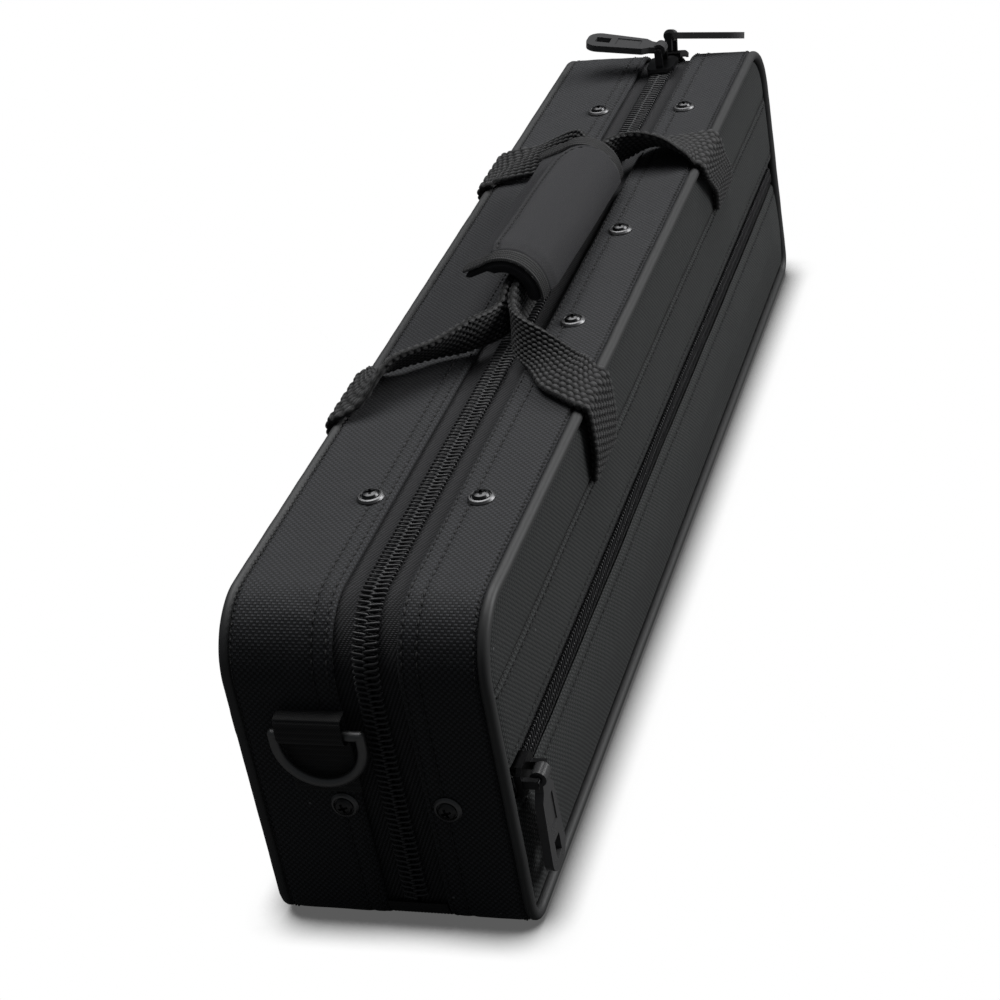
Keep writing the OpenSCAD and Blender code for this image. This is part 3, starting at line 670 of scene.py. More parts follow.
def panel(name, side, z_from, z_to, surface, dx=2.0 * MM, dz=1.2 * MM):
    """A panel between two heights; surface(x, z) is the distance from the case's middle plane."""
    limit = HALF_LENGTH - EDGE
    xs, x = [], -limit
    while x < limit - 1e-6:
        xs.append(x)
        x += 0.7 * MM if abs(x) > STRAIGHT_X else dx
    xs.append(limit)
    count = int(round((z_to - z_from) / dz)) + 1
    points, uv = [], []
    for x in xs:
        low, high = column_ends(x, EDGE)
        low, high = max(low, z_from), min(high, z_to)
        if high < low:
            low = high = (low + high) / 2
        for k in range(count):
            z = low + (high - low) * k / (count - 1)
            points.append((x, side * surface(x, z), z))
            uv.append((x, z))
    return mesh_from(name, points, rows_to_faces(len(xs), count), uv)


def seam_dip(d, depth=1.5, reach=1.6):
    """How far cloth sinks at distance d from a seam, in metres."""
    return depth * MM * math.exp(-max(d, 0) / (reach * MM))


def base_face(x, z):
    d = edge_distance(x, z)
    crown = 0.9 * MM * (1 - math.exp(-max(d, 0) / (14 * MM)))
    dents = 0.35 * MM * uneven(x * 18, z * 26, 2.0)
    dents += 0.10 * MM * uneven(x * 90, z * 90, 5.0)
    return FACE_Y + 0.1 * MM + crown * 0.8 + dents * min(1, d / (8 * MM)) - seam_dip(d)


base_panel = panel("base_face_panel", 1, 0, HEIGHT, base_face)
dress(base_panel, cover_twill, "base", "base_face_cover")

# %% [markdown]
# ## The pocket's panels
# The lid face carries a flat pocket. A seam runs along it near the top, where the strap ends go under;
# below it the pocket's upper cloth reaches down to the zip, and the lower cloth bulges a little. Both
# cloths are folded back at the zip and sewn to its tape.

# %% Pocket panels
POCKET_EDGE = 6.0 * MM
POCKET_ROW = 3.2 * MM


def pocket_wave(x, z, seed):
    value = 0.40 * MM * uneven(x * 14, z * 30, seed)
    value += 0.16 * MM * uneven(x * 60, z * 85, seed + 3)
    return value


def fold_dip(to_fold):
    """The cloth sinks at the fold and along the row of stitches beside it."""
    return seam_dip(to_fold, 0.9, 0.5) + 0.35 * MM * bell(to_fold - POCKET_ROW, 0.8 * MM)


def top_panel(x, z):
    d = edge_distance(x, z)
    wave = pocket_wave(x, z, 11) * 0.6 * min(1, d / (6 * MM))
    return FACE_Y + wave + 0.2 * MM - seam_dip(d) - seam_dip(z - SEAM_Z, 0.7, 1.0)


def upper_panel(x, z):
    d = edge_distance(x, z)
    wave = pocket_wave(x, z, 21) * min(1, max(d, 0) / (6 * MM))
    return (FACE_Y + 0.5 * MM + wave - seam_dip(d, 1.6) - seam_dip(SEAM_Z - z, 0.95, 0.6)
            - fold_dip(z - (POCKET_Z + POCKET_EDGE)))


def lower_panel(x, z):
    d = edge_distance(x, z)
    fold = POCKET_Z - POCKET_EDGE
    t = min(max((z - EDGE) / (fold - EDGE), 0), 1)
    ends = min(1, max(d, 0) / (22 * MM))
    swell = 2.4 * MM * math.sin(math.pi * t) * (0.35 + 0.65 * ends)
    wave = pocket_wave(x, z, 31) * min(1, max(d, 0) / (6 * MM))
    return FACE_Y + swell + wave - seam_dip(d, 1.6) - fold_dip(fold - z)


for part, z_from, z_to, surface in (
        ("top", SEAM_Z - 1.5 * MM, HEIGHT, top_panel),
        ("upper", POCKET_Z + POCKET_EDGE, SEAM_Z, upper_panel),
        ("lower", 0, POCKET_Z - POCKET_EDGE, lower_panel)):
    made = panel(f"pocket_{part}_cloth", -1, z_from, z_to, surface)
    dress(made, pocket_twill, "lid", f"pocket_{part}_panel")

pocket_rows = []
for z, surface, pitch in (
        (POCKET_Z + POCKET_EDGE + POCKET_ROW, upper_panel, STITCH_PITCH),
        (POCKET_Z - POCKET_EDGE - POCKET_ROW, lower_panel, STITCH_PITCH),
        (SEAM_Z - 1.6 * MM, upper_panel, STITCH_PITCH),
        (SEAM_Z + 0.3 * MM, top_panel, 2.1 * MM)):
    x = -(HALF_LENGTH - 7 * MM)
    while x < HALF_LENGTH - 7 * MM:
        pocket_rows.append(((x, -surface(x, z) - 0.05 * MM, z), (1, 0, 0), (0, -1, 0)))
        x += pitch
dress(stitch_mesh("pocket_stitches", pocket_rows), stitch_thread, "lid")
print("pocket stitches:", len(pocket_rows))

# %% [markdown]
# ## Zip tapes
# The tapes are herringbone cloth. Each lies under a folded cover edge and ends just short of the
# middle, where its coil is sewn on. The main tapes turn round the bottom corners under the hinge web.

# %% Zip tapes
TAPE_DEPTH = 2.2 * MM
TAPE_INNER = 0.65
TAPE_TAIL = 8 * MM
POCKET_TAPE_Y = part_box("pocket_tape_upper")[0].y
POCKET_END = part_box("pocket_tape_upper")[1].x
POCKET_SIDES = (("upper", 1), ("lower", -1))


def main_tape(name, side):
    profile = []
    for k in range(15):
        across = TAPE_INNER * MM + (12.8 - TAPE_INNER) * MM * k / 14
        sag = 0.25 * MM * math.sin(math.pi * k / 14)
        profile.append((ZIP_Y + side * across, TAPE_DEPTH + sag))
    steps = outline_steps(ZIP_FROM - TAPE_TAIL, ZIP_TO + TAPE_TAIL, straight=3 * MM)
    return sweep_strip(name, profile, steps, lean=0.47 * side)


def pocket_tape(name, side):
    points, uv = [], []
    for i in range(161):
        x = -POCKET_END + 2 * POCKET_END * i / 160
        for k in range(8):
            z = POCKET_Z + side * (TAPE_INNER + 10.3 * k / 7) * MM
            points.append((x, POCKET_TAPE_Y + 0.05 * MM, z))
            uv.append((x, z))
    return mesh_from(name, points, rows_to_faces(161, 8), uv)


for half, side in HALVES:
    tape = dress(main_tape(half + "_main_tape", side), zip_tape_cloth, half, half + "_zip_tape")
for part, side in POCKET_SIDES:
    tape = dress(pocket_tape("pocket_zip_tape_" + part, side), zip_tape_cloth, "lid", "pocket_tape_" + part)

# %% [markdown]
# ## Coils
# A coil zip's teeth are one long nylon wire, wound as a flat spiral. Each turn runs from the sewn edge
# to the middle and back, and its head is thicker and catches the light. The spiral is swept as a tube,
# turn after turn.

# %% Coil sweep
TURN_STEPS = 14
WIRE_SIDES = 6


def tube(points, radii):
    """Vertices and faces of a closed-ended tube through the given points."""
    verts, normal = [], None
    for i, p in enumerate(points):
        d = (points[min(i + 1, len(points) - 1)] - points[max(i - 1, 0)]).normalized()
        if normal is None:
            normal = d.orthogonal().normalized()
        normal = (normal - d * normal.dot(d)).normalized()
        other = d.cross(normal)
        for k in range(WIRE_SIDES):
            turn = 2 * math.pi * k / WIRE_SIDES
            verts.append(p + (normal * math.cos(turn) + other * math.sin(turn)) * radii[i])
    faces = rows_to_faces(len(points), WIRE_SIDES, closed_columns=True)
    faces.append(tuple(reversed(range(WIRE_SIDES))))
    last = (len(points) - 1) * WIRE_SIDES
    faces.append(tuple(last + k for k in range(WIRE_SIDES)))
    return verts, faces


def coil_half(name, place, length, pitch, side, width, head, height, scale=1.0):
    """Winds a flattened spiral round the line that place(t) gives as (point, across, out)."""
    shift = 0 if side > 0 else pitch / 2
    centre, reach = (width + head) / 2, (width - head) / 2
    points, radii = [], []
    for i in range(int((length - pitch) / pitch) * TURN_STEPS):
        a = 2 * math.pi * i / TURN_STEPS
        point, across, out = place(min(shift + pitch * i / TURN_STEPS, length - pitch))
        c, n = math.cos(a), math.sin(a)
        v = centre - reach * math.copysign(abs(c) ** 0.7, c)
        rise = height * math.copysign(abs(n) ** 0.5, n)
        at_head = max(0.0, c - 0.35) / 0.65
        points.append(point + across * side * v + out * (rise + 0.32 * MM * at_head))
        radii.append((0.37 + 0.09 * at_head) * MM * scale)
    return mesh_from(name, *tube(points, radii))


def main_place(t):
    x, z, nx, nz = outline_at(ZIP_FROM + 1 * MM + t)
    out = Vector((nx, 0, nz))
    return Vector((x, ZIP_Y, z)) - out * 1.15 * MM, Vector((0, 1, 0)), out


def pocket_place(t):
    point = Vector((-POCKET_END + 1 * MM + t, POCKET_TAPE_Y - 0.9 * MM, POCKET_Z))
    return point, Vector((0, 0, 1)), Vector((0, -1, 0))


for half, side in HALVES:
    coil = coil_half(half + "_coil_wire", main_place, ZIP_TO - ZIP_FROM - 2 * MM, 1.92 * MM, side,
                     3.6 * MM, -0.15 * MM, 0.62 * MM)
    dress(coil, coil_nylon, half, half + "_zip_coil")
for part, side in POCKET_SIDES:
    coil = coil_half("pocket_coil_wire_" + part, pocket_place, 2 * POCKET_END - 2 * MM, 1.7 * MM, side,
                     3.0 * MM, 0.05 * MM, 0.5 * MM, 0.85)
    dress(coil, coil_nylon, "lid", "pocket_coil_" + part)
print("points in a pocket coil:", len(coil.data.vertices))

# %% [markdown]
# ## The web of the handles
# Handle web is a coarse basket weave whose cells stand proud, and at this size they are real bumps, not
# paint; the web's colour also darkens into the gaps between them as painted shade. The route of each web
# is written as sections: a middle, the direction of its width, and its width. A smooth curve joins them,
# and the surface between is displaced cell by cell.

# %% Web route
WEB_T = 2.0 * MM
WEB_W = 25.0 * MM
SOFT_GAP = 0.3 * MM
strap_face = FACE_Y + SOFT_GAP + WEB_T / 2
strap_bead = BEAD_R + SOFT_GAP + WEB_T / 2 + 0.25 * MM
strap_edge = HEIGHT + SOFT_GAP + 0.65 * MM
strap_low = SEAM_Z + 0.35 * MM
bead_top = HEIGHT - BEAD_R
GRIP_X = 14 * MM
GRIP_LEN = 110 * MM
GRIP_TILT = math.radians(3)
GRIP_T = 4 * MM
GRIP_A = 12 * MM
GRIP_B = 12.8 * MM
grip_y = ZIP_Y + 3 * MM
grip_z = HEIGHT + 7.4 * MM


def lie(x, y, w, b):
    """A section that rests on the case: w is the direction of its width b."""
    u = abs(Vector(w).normalized().z)
    z = strap_edge + b / 2 * u + WEB_T / 2 * math.sqrt(max(1 - u * u, 0))
    return (x, y, z), w, b


def low(x, y):
    return lie(x, y, (0, 0, 1), 12.6 * MM)


def turn_key(side, x, way, w):
    return lie(x, side * (BEAD_Y - 4.5 * MM), (-0.97 * side * way, -0.2, 0.1), w)


def in_metres(rows):
    """Sections written as (x, y, width's direction, width) in millimetres."""
    return [lie(x * MM, y * MM, w, b * MM) for x, y, w, b in rows]


def inside_grip(x, y):
    """A section on edge that fills the room under the grip's arch."""
    tall = (grip_z + (GRIP_B - GRIP_T) * 0.76 - (x - GRIP_X) * math.tan(GRIP_TILT) - SOFT_GAP - strap_edge)
    return (x, y, strap_edge + tall / 2), (0, 0, 1), tall


def leg(side, x0, x1, w0, w1):
    """From the seam on the face up and over the piping."""
    u, y = (-side, 0, 0), side * BEAD_Y
    return [((x0, side * strap_face, strap_low), u, w0),
            ((x0 + (x1 - x0) * 0.3, y + side * (strap_bead + 0.1 * MM), strap_low + 9 * MM), u, w0),
            ((x0 + (x1 - x0) * 0.8, y + side * (strap_bead + 0.3 * MM), bead_top - 6 * MM), u, (w0 + w1) / 2),
            ((x1, y + side * strap_bead, bead_top), u, w1),
            ((x1, y + side * strap_bead * 0.72, bead_top + strap_bead * 0.72), u, w1),
            ((x1, y, bead_top + strap_bead + 0.1 * MM), u, w1)]


def turned(keys):
    return [(c, tuple(-v for v in w), b) for c, w, b in reversed(keys)]


def loop_keys(side, y_in, near, on, off, far):
    """All sections of one web, from its near seam through the grip to its far seam."""
    near = [v * MM for v in near]
    far = [v * MM for v in far]
    return (leg(side, *near) + [turn_key(side, near[1] + 3 * MM, 1, near[3] - 3 * MM)] + in_metres(on)
            + [low(-50 * MM, y_in + side * 0.6 * MM), inside_grip(-38 * MM, y_in),
               inside_grip(GRIP_X, y_in), inside_grip(66 * MM, y_in),
               low(76 * MM, y_in + side * 0.3 * MM)]
            + in_metres(off) + [turn_key(side, far[1] - 2 * MM, -1, far[3] - 3 * MM)]
            + turned(leg(side, *far)))


def spline(a, b, c, d, t):
    return 0.5 * ((2 * b) + (c - a) * t + (2 * a - 5 * b + 4 * c - d) * t * t
                  + (3 * b - a - 3 * c + d) * t * t * t)


def swept_sections(keys, step):
    """Sections every `step` metres along the smooth curve."""
    rows = [np.array([*c, *w, b], dtype=float) for c, w, b in keys]
    fine = []
    for i in range(len(rows) - 1):
        a, b, c, d = rows[max(i - 1, 0)], rows[i], rows[i + 1], rows[min(i + 2, len(rows) - 1)]
        fine += [spline(a, b, c, d, j / 40) for j in range(40)]
    fine = np.array(fine + [rows[-1]])
    run = np.concatenate([[0], np.cumsum(np.linalg.norm(np.diff(fine[:, :3], axis=0), axis=1))])
    at = np.linspace(0, run[-1], int(run[-1] / step) + 1)
    return at, np.stack([np.interp(at, run, fine[:, k]) for k in range(7)], axis=1)


print("web route ready")

# %% [markdown]
# ## The surface of the web
# The surface is a closed ring of points at each section: the outer face, a rounded edge, the inner face
# and the other edge. The bumps come from a rule that shifts every second column by half a cell, as a
# basket weave does.

# %% Web surface
CELL_L, CELL_W = 2.45 * MM, 2.5 * MM
WEB_HALF = 0.36 * MM
WEB_BUMP = 0.95 * MM
WEB_ACROSS = 88


def basket(length, across):
    """Height of the weave's bumps, from 0 in the gaps to 1 on the crowns."""
    c = (across / WEB_W + 0.5) * round(WEB_W / CELL_W)
    column = np.floor(c)
    u = length / CELL_L + 0.5 * (column % 2)
    along, over = 2 * (u % 1.0) - 1, 2 * (c % 1.0) - 1
    return np.sqrt(np.clip(1 - along ** 2 - 0.8 * over ** 2, 0, 1))


def unit_rows(rows):
    return rows / np.linalg.norm(rows, axis=1, keepdims=True)


def web_mesh(name, keys):
    at, rows = swept_sections(keys, 0.42 * MM)
    middle, widths = rows[:, :3], rows[:, 6]
    width_way = unit_rows(rows[:, 3:6])
    normal = unit_rows(np.cross(width_way, unit_rows(np.gradient(middle, axis=0))))
    ring = [(-0.5 + k / (WEB_ACROSS - 1), 1) for k in range(WEB_ACROSS)]
    ring += [(0.5 - k / (WEB_ACROSS - 1), -1) for k in range(WEB_ACROSS)]
    count = len(ring)
    points = np.zeros((len(at), count, 3))
    uv = np.zeros((len(at), count, 2))
    crown = np.zeros((len(at), count))
    for j, (v, face) in enumerate(ring):
        span = v * (widths - WEB_HALF)
        edge = np.clip((0.5 - abs(v)) * widths / (1.0 * MM), 0, 1)
        roll = np.sqrt(1 - (1 - edge) ** 2)
        crown[:, j] = basket(at, v * WEB_W)
        lift = WEB_HALF * (0.35 + 0.65 * roll) + WEB_BUMP * crown[:, j] * np.minimum(edge * 2, 1)
        points[:, j] = middle + width_way * span[:, None] + normal * (face * lift)[:, None]
        uv[:, j, 0] = at
        uv[:, j, 1] = span + (0.05 if face < 0 else 0.0)
    faces = rows_to_faces(len(at), count, closed_columns=True)
    last = (len(at) - 1) * count
    for k in range(WEB_ACROSS - 1):
        faces.append((k + 1, k, count - 1 - k, count - 2 - k))
        faces.append((last + k, last + k + 1, last + count - 2 - k, last + count - 1 - k))
    obj = mesh_from(name, points.reshape(-1, 3), faces, uv.reshape(-1, 2))
    # The crown heights also darken the web's colour into its gaps, as painted shade.
    heights = obj.data.attributes.new("crown", "FLOAT", "POINT")
    heights.data.foreach_set("value", crown.astype(np.float32).ravel())
    return obj


lid_in, base_in = ZIP_Y / MM - 1.6, ZIP_Y / MM + 1.6
lid_on = [(-77.5, -28, (0.80, -0.5, 0.14), 19.5), (-70.5, -21.5, (0.60, -0.62, 0.36), 14.5),
          (-61, -11, (0.25, -0.3, 0.92), 12.5)]
lid_off = [(84, lid_in - 5, (-0.3, -0.25, 0.9), 14), (89, lid_in - 14, (-0.65, -0.5, 0.5), 20),
           (92, -27, (-0.85, -0.45, 0.2), 25)]
base_on = [(-79, 26.5, (-0.74, -0.34, 0.58), 19), (-69, 14.5, (-0.62, -0.32, 0.70), 16),
           (-60, 4.5, (-0.2, -0.15, 0.96), 13.5)]
base_off = [(81, base_in + 6, (0.3, -0.25, 0.9), 14), (83, base_in + 14, (0.6, -0.45, 0.6), 19),
            (81, 27, (0.85, -0.5, 0.2), 25)]
lid_keys = loop_keys(-1, lid_in * MM, (-84.5, -84.5, 26, 26), lid_on, lid_off, (111, 95, 26, 30))
base_keys = loop_keys(1, base_in * MM, (-92, -88.5, 27, 32), base_on, base_off, (90, 82, 26, 30))
for half, keys in (("lid", lid_keys), ("base", base_keys)):
    web = dress(web_mesh(half + "_handle_web", keys), strap_web, "handle_" + half, half + "_strap")
    print(half, "web vertices:", len(web.data.vertices))

# %% [markdown]
# ## The grip
# The grip is a padded wrap: an inner layer whose edge shows on the base side, and an outer flap with a
# rounded far corner that closes over it. The pad swells between its bound ends, and the flap's row of
# stitches presses a line into it.

# %% Grip surface
G0, G1 = GRIP_X - GRIP_LEN / 2, GRIP_X + GRIP_LEN / 2
# Angles round the arch are in degrees, counted from the base side over the top.
LIP_START = 62.0
LIP_SPAN = 40.0
LIP_WAY = (0.94, -0.34)
WRAP_FROM = LIP_START - LIP_SPAN
WRAP_TO = 186.0
FLAP_R = 17 * MM
FLAP_EDGE = 65.0
FLAP_END = 183.0
FLAP_START = 6.6 * MM
FLAP_ROW = 3.0 * MM
ARC_PER_DEGREE = 13.5 * MM * math.pi / 180


def grip_point(x, angle, out):
    """A point of the arch at x. Below LIP_START the angle runs out along the flat lip."""
    degrees = math.degrees(angle)
    held = math.radians(max(degrees, LIP_START))
    y = grip_y + (GRIP_A + out) * math.cos(held)
    z = (GRIP_B + out) * math.sin(held)
    if degrees < LIP_START:
        reach = (9.0 + 1.6 * (x - GRIP_X) / GRIP_LEN * 2) * MM * (LIP_START - degrees) / LIP_SPAN
        y += LIP_WAY[0] * reach
        z += LIP_WAY[1] * reach
    dx = x - GRIP_X
    return (GRIP_X + dx * math.cos(GRIP_TILT) + z * math.sin(GRIP_TILT), y,
            grip_z - dx * math.sin(GRIP_TILT) + z * math.cos(GRIP_TILT))


def closed_layer(name, outer, inner, rows, columns):
    """A closed padded layer from two grids of points with the same rows and columns."""
    points = outer + inner
    size = rows * columns
    faces = rows_to_faces(rows, columns)
    faces += [tuple(size + v for v in reversed(f)) for f in rows_to_faces(rows, columns)]
    for i in range(rows - 1):
        a, b = i * columns, (i + 1) * columns
        faces.append((a, b, size + b, size + a))
        a, b = a + columns - 1, b + columns - 1
        faces.append((b, a, size + a, size + b))
    for j in range(columns - 1):
        faces.append((j + 1, j, size + j, size + j + 1))
        a = (rows - 1) * columns + j
        faces.append((a, a + 1, size + a + 1, size + a))
    return face_outwards(mesh_from(name, points, faces, [(p[0], p[1] + p[2]) for p in points]))


def grid_layer(name, x_at, angle_at, rows, columns, out_at, in_at):
    """A layer on the arch: x_at(u) and angle_at(x, v) place the grid, out_at and in_at its faces."""
    outer, inner = [], []
    for i in range(rows):
        x = x_at(i / (rows - 1))
        for j in range(columns):
            a = math.radians(angle_at(x, j / (columns - 1)))
            outer.append(grip_point(x, a, out_at(x, a)))
            inner.append(grip_point(x, a, in_at(x, a)))
    return closed_layer(name, outer, inner, rows, columns)


def swell_at(x):
    t = (x - G0) / (G1 - G0)
    return math.sin(math.pi * min(max(t, 0), 1)) ** 0.5


def wrap_roll(a):
    """1 at the wrap's two long edges, falling to 0 inside."""
    t = (math.degrees(a) - WRAP_FROM) / (WRAP_TO - WRAP_FROM)
    return 1 - min(1, min(t, 1 - t) / 0.05)


def wrap_out(x, a):
    folds = 0.35 * MM * uneven(x * 40, a * 2.2, 6.0)
    return 0.2 * MM * swell_at(x) + folds - 1.0 * MM * wrap_roll(a) ** 2


def wrap_in(x, a):
    thin = min(max((LIP_START + 12 - math.degrees(a)) / 12, 0), 1)
    depth = GRIP_T + (2.2 * MM - GRIP_T) * thin
    return -depth + 0.2 * MM + 0.9 * MM * wrap_roll(a) ** 2


def flap_edge(x):
    """Angle of the flap's free edge at x: straight, with a rounded corner at its far end."""
    d = G1 - 8 * MM - x
    if d >= FLAP_R:
        return FLAP_EDGE
    drop = FLAP_R - math.sqrt(max(FLAP_R ** 2 - (FLAP_R - max(d, 0)) ** 2, 0))
    return FLAP_EDGE + drop / ARC_PER_DEGREE


def flap_out(x, a):
    edge = (math.degrees(a) - flap_edge(x)) * ARC_PER_DEGREE
    roll = 1 - min(1, max(edge, 0) / (1.2 * MM))
    folds = 0.30 * MM * uneven(x * 34, a * 2.0, 9.0)
    tucked = max(0.0, 1 - (x - G0 - FLAP_START) / (5 * MM))
    return (2.1 * MM - 1.1 * MM * tucked + 0.5 * MM * swell_at(x) + folds - 1.2 * MM * roll ** 2
            - 0.35 * MM * bell(edge - FLAP_ROW, 0.7 * MM))


grip_body = grid_layer("grip_padded_wrap", lambda u: G0 + (G1 - G0) * u,
                       lambda x, v: WRAP_FROM + (WRAP_TO - WRAP_FROM) * v, 70, 64, wrap_out, wrap_in)
dress(grip_body, grip_twill, "handle_lid", "grip_wrap")
flap = grid_layer("grip_outer_flap", lambda u: G0 + FLAP_START + (GRIP_LEN - 14.6 * MM) * u,
                  lambda x, v: flap_edge(x) + (FLAP_END - flap_edge(x)) * v, 70, 52, flap_out,
                  lambda x, a: 0.55 * MM)
dress(flap, grip_twill, "handle_lid", "grip_flap")
print("grip points:", len(grip_body.data.vertices), len(flap.data.vertices))

# %% [markdown]
# ## Bound ends and the flap's stitches
# Ribbed tape is folded over both raw ends of the wrap, and a row of stitches follows the flap's edge
# round its corner.

# %% Grip bindings
def binding(name, x0, x1):
    """Ribbed tape folded over the wrap's end: ridges run round the arch."""
    def out(x, a):
        t = (x - x0) / (x1 - x0)
        ridge = 0.22 * MM * math.sin(2 * math.pi * t * 5.5)
        rib = 0.07 * MM * math.sin(a * 180 / 1.6)
        roll = 1 - min(1, min(t, 1 - t) / 0.12)
        return 1.3 * MM + ridge + rib - 0.9 * MM * roll ** 2

    start, end = WRAP_FROM + 0.6, 184.5
    return grid_layer(name, lambda u: x0 + (x1 - x0) * u, lambda x, v: start + (end - start) * v, 45, 90,
                      out, lambda x, a: 0.4 * MM)


def flap_stitch(x):
    a = math.radians(flap_edge(x) + FLAP_ROW / ARC_PER_DEGREE)
    return Vector(grip_point(x, a, flap_out(x, a))), (0, math.cos(a), math.sin(a))


for end, x0, x1 in (("near", G0 - 0.4 * MM, G0 + 7.1 * MM), ("far", G1 - 7.1 * MM, G1 + 0.4 * MM)):
    dress(binding("grip_binding_" + end, x0, x1), binding_web, "handle_lid", "grip_binding")

flap_spots = []
for k in range(int((GRIP_LEN - 18 * MM) / (2.6 * MM))):
    x = G0 + 9 * MM + k * 2.6 * MM
    here, outward = flap_stitch(x)
    flap_spots.append((here, flap_stitch(x + 1 * MM)[0] - here, outward))
dress(stitch_mesh("grip_stitches", flap_spots), stitch_thread, "handle_lid")
print("grip stitches:", len(flap_spots))

# %% [markdown]
# ## Ring tabs
# Each D-ring hangs in a loop of ribbed web. The web comes down from its sewn patch, goes round the
# ring's bar and back up behind, so a rounded sleeve shows in front and a flat tail below.

# %% Ring tabs
TAB_W = 20 * MM
TAB_Y = 14 * MM
RING_Z = 71 * MM
TAB_RISE = RING_Z / MM - 68.8
TAB_COLUMNS = 61
TAB_FACE = HALF_LENGTH + 0.25 * MM
RING_BAR = HALF_LENGTH + (0.3 + 1 + 0.4 + 1.5) * MM
TAB_FRONT = RING_BAR + 2.75 * MM
# The web's path seen from the side: x in metres, z in millimetres before it is raised to the ring.
TAB_OUTLINE = [
    (TAB_FACE, 47.8), (TAB_FACE + 0.9 * MM, 47.6), (TAB_FACE + 1.05 * MM, 50), (TAB_FACE + 1.1 * MM, 62.0),
    (TAB_FACE + 1.2 * MM, 64.8), (RING_BAR - 0.5 * MM, 65.95), (RING_BAR + 1.0 * MM, 66.1),
    (RING_BAR + 2.3 * MM, 67.2), (TAB_FRONT, 68.8), (TAB_FRONT - 0.1 * MM, 71.0),
    (TAB_FRONT - 0.5 * MM, 73.6), (TAB_FRONT - 1.0 * MM, 74.8), (TAB_FRONT - 1.9 * MM, 75.1),
    (TAB_FACE + 1.5 * MM, 75.2), (TAB_FACE, 75.1)]


def ring_tab(name, end):
    fine = []
    for (x0, z0), (x1, z1) in zip(TAB_OUTLINE, TAB_OUTLINE[1:]):
        pieces = max(int(math.hypot((x1 - x0) / MM, z1 - z0) / 0.35), 1)
        fine += [(x0 + (x1 - x0) * k / pieces, (z0 + (z1 - z0) * k / pieces) * MM) for k in range(pieces)]
    fine.append((TAB_OUTLINE[-1][0], TAB_OUTLINE[-1][1] * MM))
    points, uv = [], []
    run = 0.0
    for i, (x, z) in enumerate(fine):
        if i:
            run += math.hypot(x - fine[i - 1][0], z - fine[i - 1][1])
        for j in range(TAB_COLUMNS):
            v = j / (TAB_COLUMNS - 1) - 0.5
            edge = min(1, (0.5 - abs(v)) * TAB_W / (0.6 * MM))
            rib = 0.34 * MM * (1 - abs(math.sin(math.pi * run / (1.9 * MM)))) if i else 0
            out = -rib * edge - 0.25 * MM * (1 - edge)
            push = out if x > TAB_FACE + 0.5 * MM else 0
            points.append((end * (x + push), TAB_Y + v * TAB_W, z + TAB_RISE * MM))
            uv.append((run, v * TAB_W))
    return face_outwards(mesh_from(name, points, rows_to_faces(len(fine), TAB_COLUMNS), uv))


for place, end in (("near", -1), ("far", 1)):
    tab = dress(ring_tab(place + "_ring_web", end), rib_web, "base", place + "_ring_tab")
    print(place, "tab points:", len(tab.data.vertices))

# %% [markdown]
# ## Cloth and foam between the layers
# Three kinds of soft pieces lie between the covers and the shells: the web hinge along the bottom, a fixed
# strip that stays with neither half as the lid opens, the pocket's lining and the foam in the walls.

# %% Hidden layers
hinge_end = length_at_height(8.7 * MM)
hinge_profile = []
for k in range(37):
    across = -9.1 * MM + 18.2 * MM * k / 36
    hinge_profile.append((ZIP_Y + across, (0.30 + 0.10 * math.cos(math.pi * k)) * MM))
hinge_web = sweep_strip("hinge_web", hinge_profile, outline_steps(-hinge_end, hinge_end, 1.5 * MM))
hinge_web.data.materials.append(rib_web)
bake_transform(hinge_web)
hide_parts("hinge_tape")
print("hinge web:", round(2 * hinge_end, 4), "m long")

lining_low, lining_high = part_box("pocket_lining")
lining_y = (lining_low.y + lining_high.y) / 2
lining = panel("pocket_lining_cloth", -1, 0, HEIGHT, lambda x, z: -lining_y, 4 * MM, 3 * MM)
dress(lining, lining_cloth, "lid", "pocket_lining")


def foam_ring(node, shell_node, body):
    """The foam between the cover and the shell, as a closed profile swept round the case."""
    low_corner, high_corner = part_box(node)
    outer = HALF_LENGTH - high_corner.x
    inner = HALF_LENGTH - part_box(shell_node)[1].x - 0.3 * MM
    y_low, y_high = low_corner.y, high_corner.y
    corners = [(y_low, outer), (y_high, outer), (y_high, inner), (y_low, inner), (y_low, outer)]
    profile = []
    for (y0, d0), (y1, d1) in zip(corners, corners[1:]):
        pieces = max(int(abs(y1 - y0) / (3 * MM)), 2)
        profile += [(y0 + (y1 - y0) * k / pieces, d0 + (d1 - d0) * k / pieces) for k in range(pieces)]
    profile.append(corners[0])
    obj = sweep_strip(node + "_pad", profile, outline_steps(0, PERIMETER, 3 * MM, 1.5 * MM))
    dress(face_outwards(obj), wall_foam, body, node)


for half, _ in HALVES:
    foam_ring(half + "_wall_foam", half + "_shell", half)

# %% [markdown]
# ## The inside
# The foam cradle and the lid pad are soft pieces under plush. Each takes the CAD solid's shape, rebuilt
# with small even faces, softened edges and a slight unevenness.

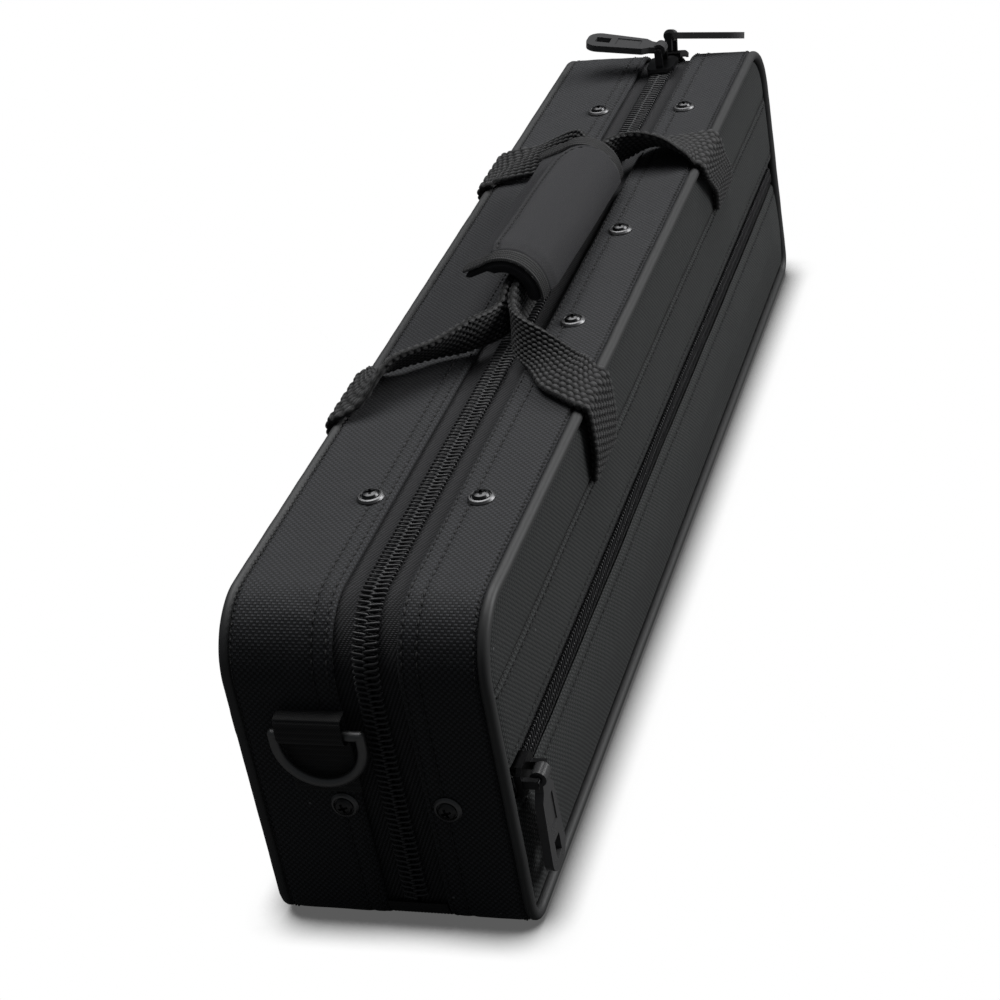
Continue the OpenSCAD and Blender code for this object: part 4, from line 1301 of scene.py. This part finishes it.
# %% Plush pieces
def soft_copy(node, name, body):
    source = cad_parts[node]
    obj = bpy.data.objects.new(name, source.data.copy())
    scene.collection.objects.link(obj)
    obj.matrix_world = source.matrix_world
    remesh = obj.modifiers.new("even", "REMESH")
    remesh.mode = "VOXEL"
    remesh.voxel_size = 1.6 * MM
    smooth = obj.modifiers.new("soften", "SMOOTH")
    smooth.factor = 0.6
    smooth.iterations = 3
    bpy.context.view_layer.update()
    graph = bpy.context.evaluated_depsgraph_get()
    result = bpy.data.meshes.new_from_object(obj.evaluated_get(graph))
    obj.modifiers.clear()
    obj.data = result
    moved = [v.co + v.normal * 0.12 * MM * noise.noise(v.co * 220) for v in result.vertices]
    result.vertices.foreach_set("co", np.array(moved, dtype=np.float32).ravel())
    result.polygons.foreach_set("use_smooth", [True] * len(result.polygons))
    result.update()
    dress(obj, black_plush, body, node)
    print(name, "faces:", len(result.polygons))


soft_copy("foam_cradle", "plush_cradle", "base")
soft_copy("lid_pad", "plush_lid_pad", "lid")

# %% [markdown]
# ## Finishes of the carried-over nodes
# What is rigid in the CAD keeps its CAD mesh: screws, washers, rings, sliders, pulls and the shells.
# Each gets its finish, and its curved faces are shaded smooth by angle.

# %% Finish the CAD nodes
SHARP_ANGLE = math.radians(32)
finishes = {
    black_nickel: ("base_screws", "lid_screws"),
    washer_nickel: ("base_cup_washers", "lid_cup_washers"),
    ring_steel: ("near_d_ring", "far_d_ring"),
    slider_zinc: ("main_slider_a", "main_slider_b", "pocket_slider"),
    pull_plastic: ("main_pull_a", "main_pull_b", "pocket_pull"),
    shell_board: ("base_shell", "lid_shell")}
for material, nodes in finishes.items():
    for node in nodes:
        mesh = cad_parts[node].data
        mesh.materials.clear()
        mesh.materials.append(material)
        mesh.polygons.foreach_set("use_smooth", [True] * len(mesh.polygons))
        mesh.set_sharp_from_angle(angle=SHARP_ANGLE)
    print(material.name, "on", ", ".join(nodes))

# %% [markdown]
# ## Light, floor and backdrop
# The case is black, so its form shows only through soft, broad light. One large box hangs above and
# behind, and gives the top its grey; a second one stands on the pocket's side. Nothing lights the near
# end, which sinks into black as in the photograph. Floor and backdrop are white to the camera alone,
# and next to the case an occlusion test paints a shadow into the floor's white glow.

# %% Lights and floor
FLOOR_HALF = 4.0
FLOOR_Z = -0.3 * MM
WHITE = (1, 1, 1, 1)


def area_light(name, place, target, size, power):
    data = bpy.data.lights.new(name, "AREA")
    data.shape = "RECTANGLE"
    data.size, data.size_y = size
    data.energy = power
    obj = bpy.data.objects.new(name, data)
    scene.collection.objects.link(obj)
    obj.location = place
    obj.rotation_euler = (Vector(target) - Vector(place)).to_track_quat("-Z", "Y").to_euler()


def for_camera(tree, other, seen):
    """A shader that the camera sees as `seen`; all other light meets `other`."""
    rays = add_node(tree, "ShaderNodeLightPath")
    made = add_node(tree, "ShaderNodeMixShader", None, i0=rays.outputs["Is Camera Ray"],
                    i1=other.outputs[0], i2=seen.outputs[0])
    return made.outputs[0]


area_light("top_softbox", (0.45, 0.15, 1.3), (0, 0, 0.1), (1.2, 1.0), 11.5)
area_light("side_softbox", (0.55, -1.2, 0.75), (0, 0, 0.05), (0.9, 0.7), 11.5)

world = bpy.data.worlds.new("studio")
scene.world = world
world.use_nodes = True
w = world.node_tree
w.nodes.clear()
ambient = add_node(w, "ShaderNodeBackground", None, Color=(0.9, 0.95, 1.0, 1), Strength=0.05)
backdrop = add_node(w, "ShaderNodeBackground", None, Color=WHITE, Strength=1.0)
add_node(w, "ShaderNodeOutputWorld", None, Surface=for_camera(w, ambient, backdrop))

corners = [(FLOOR_HALF * x, FLOOR_HALF * y, FLOOR_Z) for x, y in ((-1, -1), (1, -1), (1, 1), (-1, 1))]
floor = mesh_from("studio_floor", corners, [(0, 1, 2, 3)])
floor_paper = bpy.data.materials.new("floor_paper")
floor_paper.use_nodes = True
f = floor_paper.node_tree
f.nodes.clear()
matte = add_node(f, "ShaderNodeBsdfDiffuse", None, Color=(0.12, 0.12, 0.12, 1))
# Painted shadow: an occlusion test darkens the floor's white glow next to the case.
near_case = add_node(f, "ShaderNodeAmbientOcclusion", {"samples": 16}, Distance=0.014)
painted_floor_shadow = add_node(f, "ShaderNodeMapRange", {"clamp": True}, i0=near_case.outputs["AO"], i1=0.5, i2=0.96,
                   i3=0.10, i4=1.0)
glow = add_node(f, "ShaderNodeEmission", None, Color=WHITE, Strength=painted_floor_shadow.outputs[0])
add_node(f, "ShaderNodeOutputMaterial", None, Surface=for_camera(f, matte, glow))
floor.data.materials.append(floor_paper)
print("stage ready")
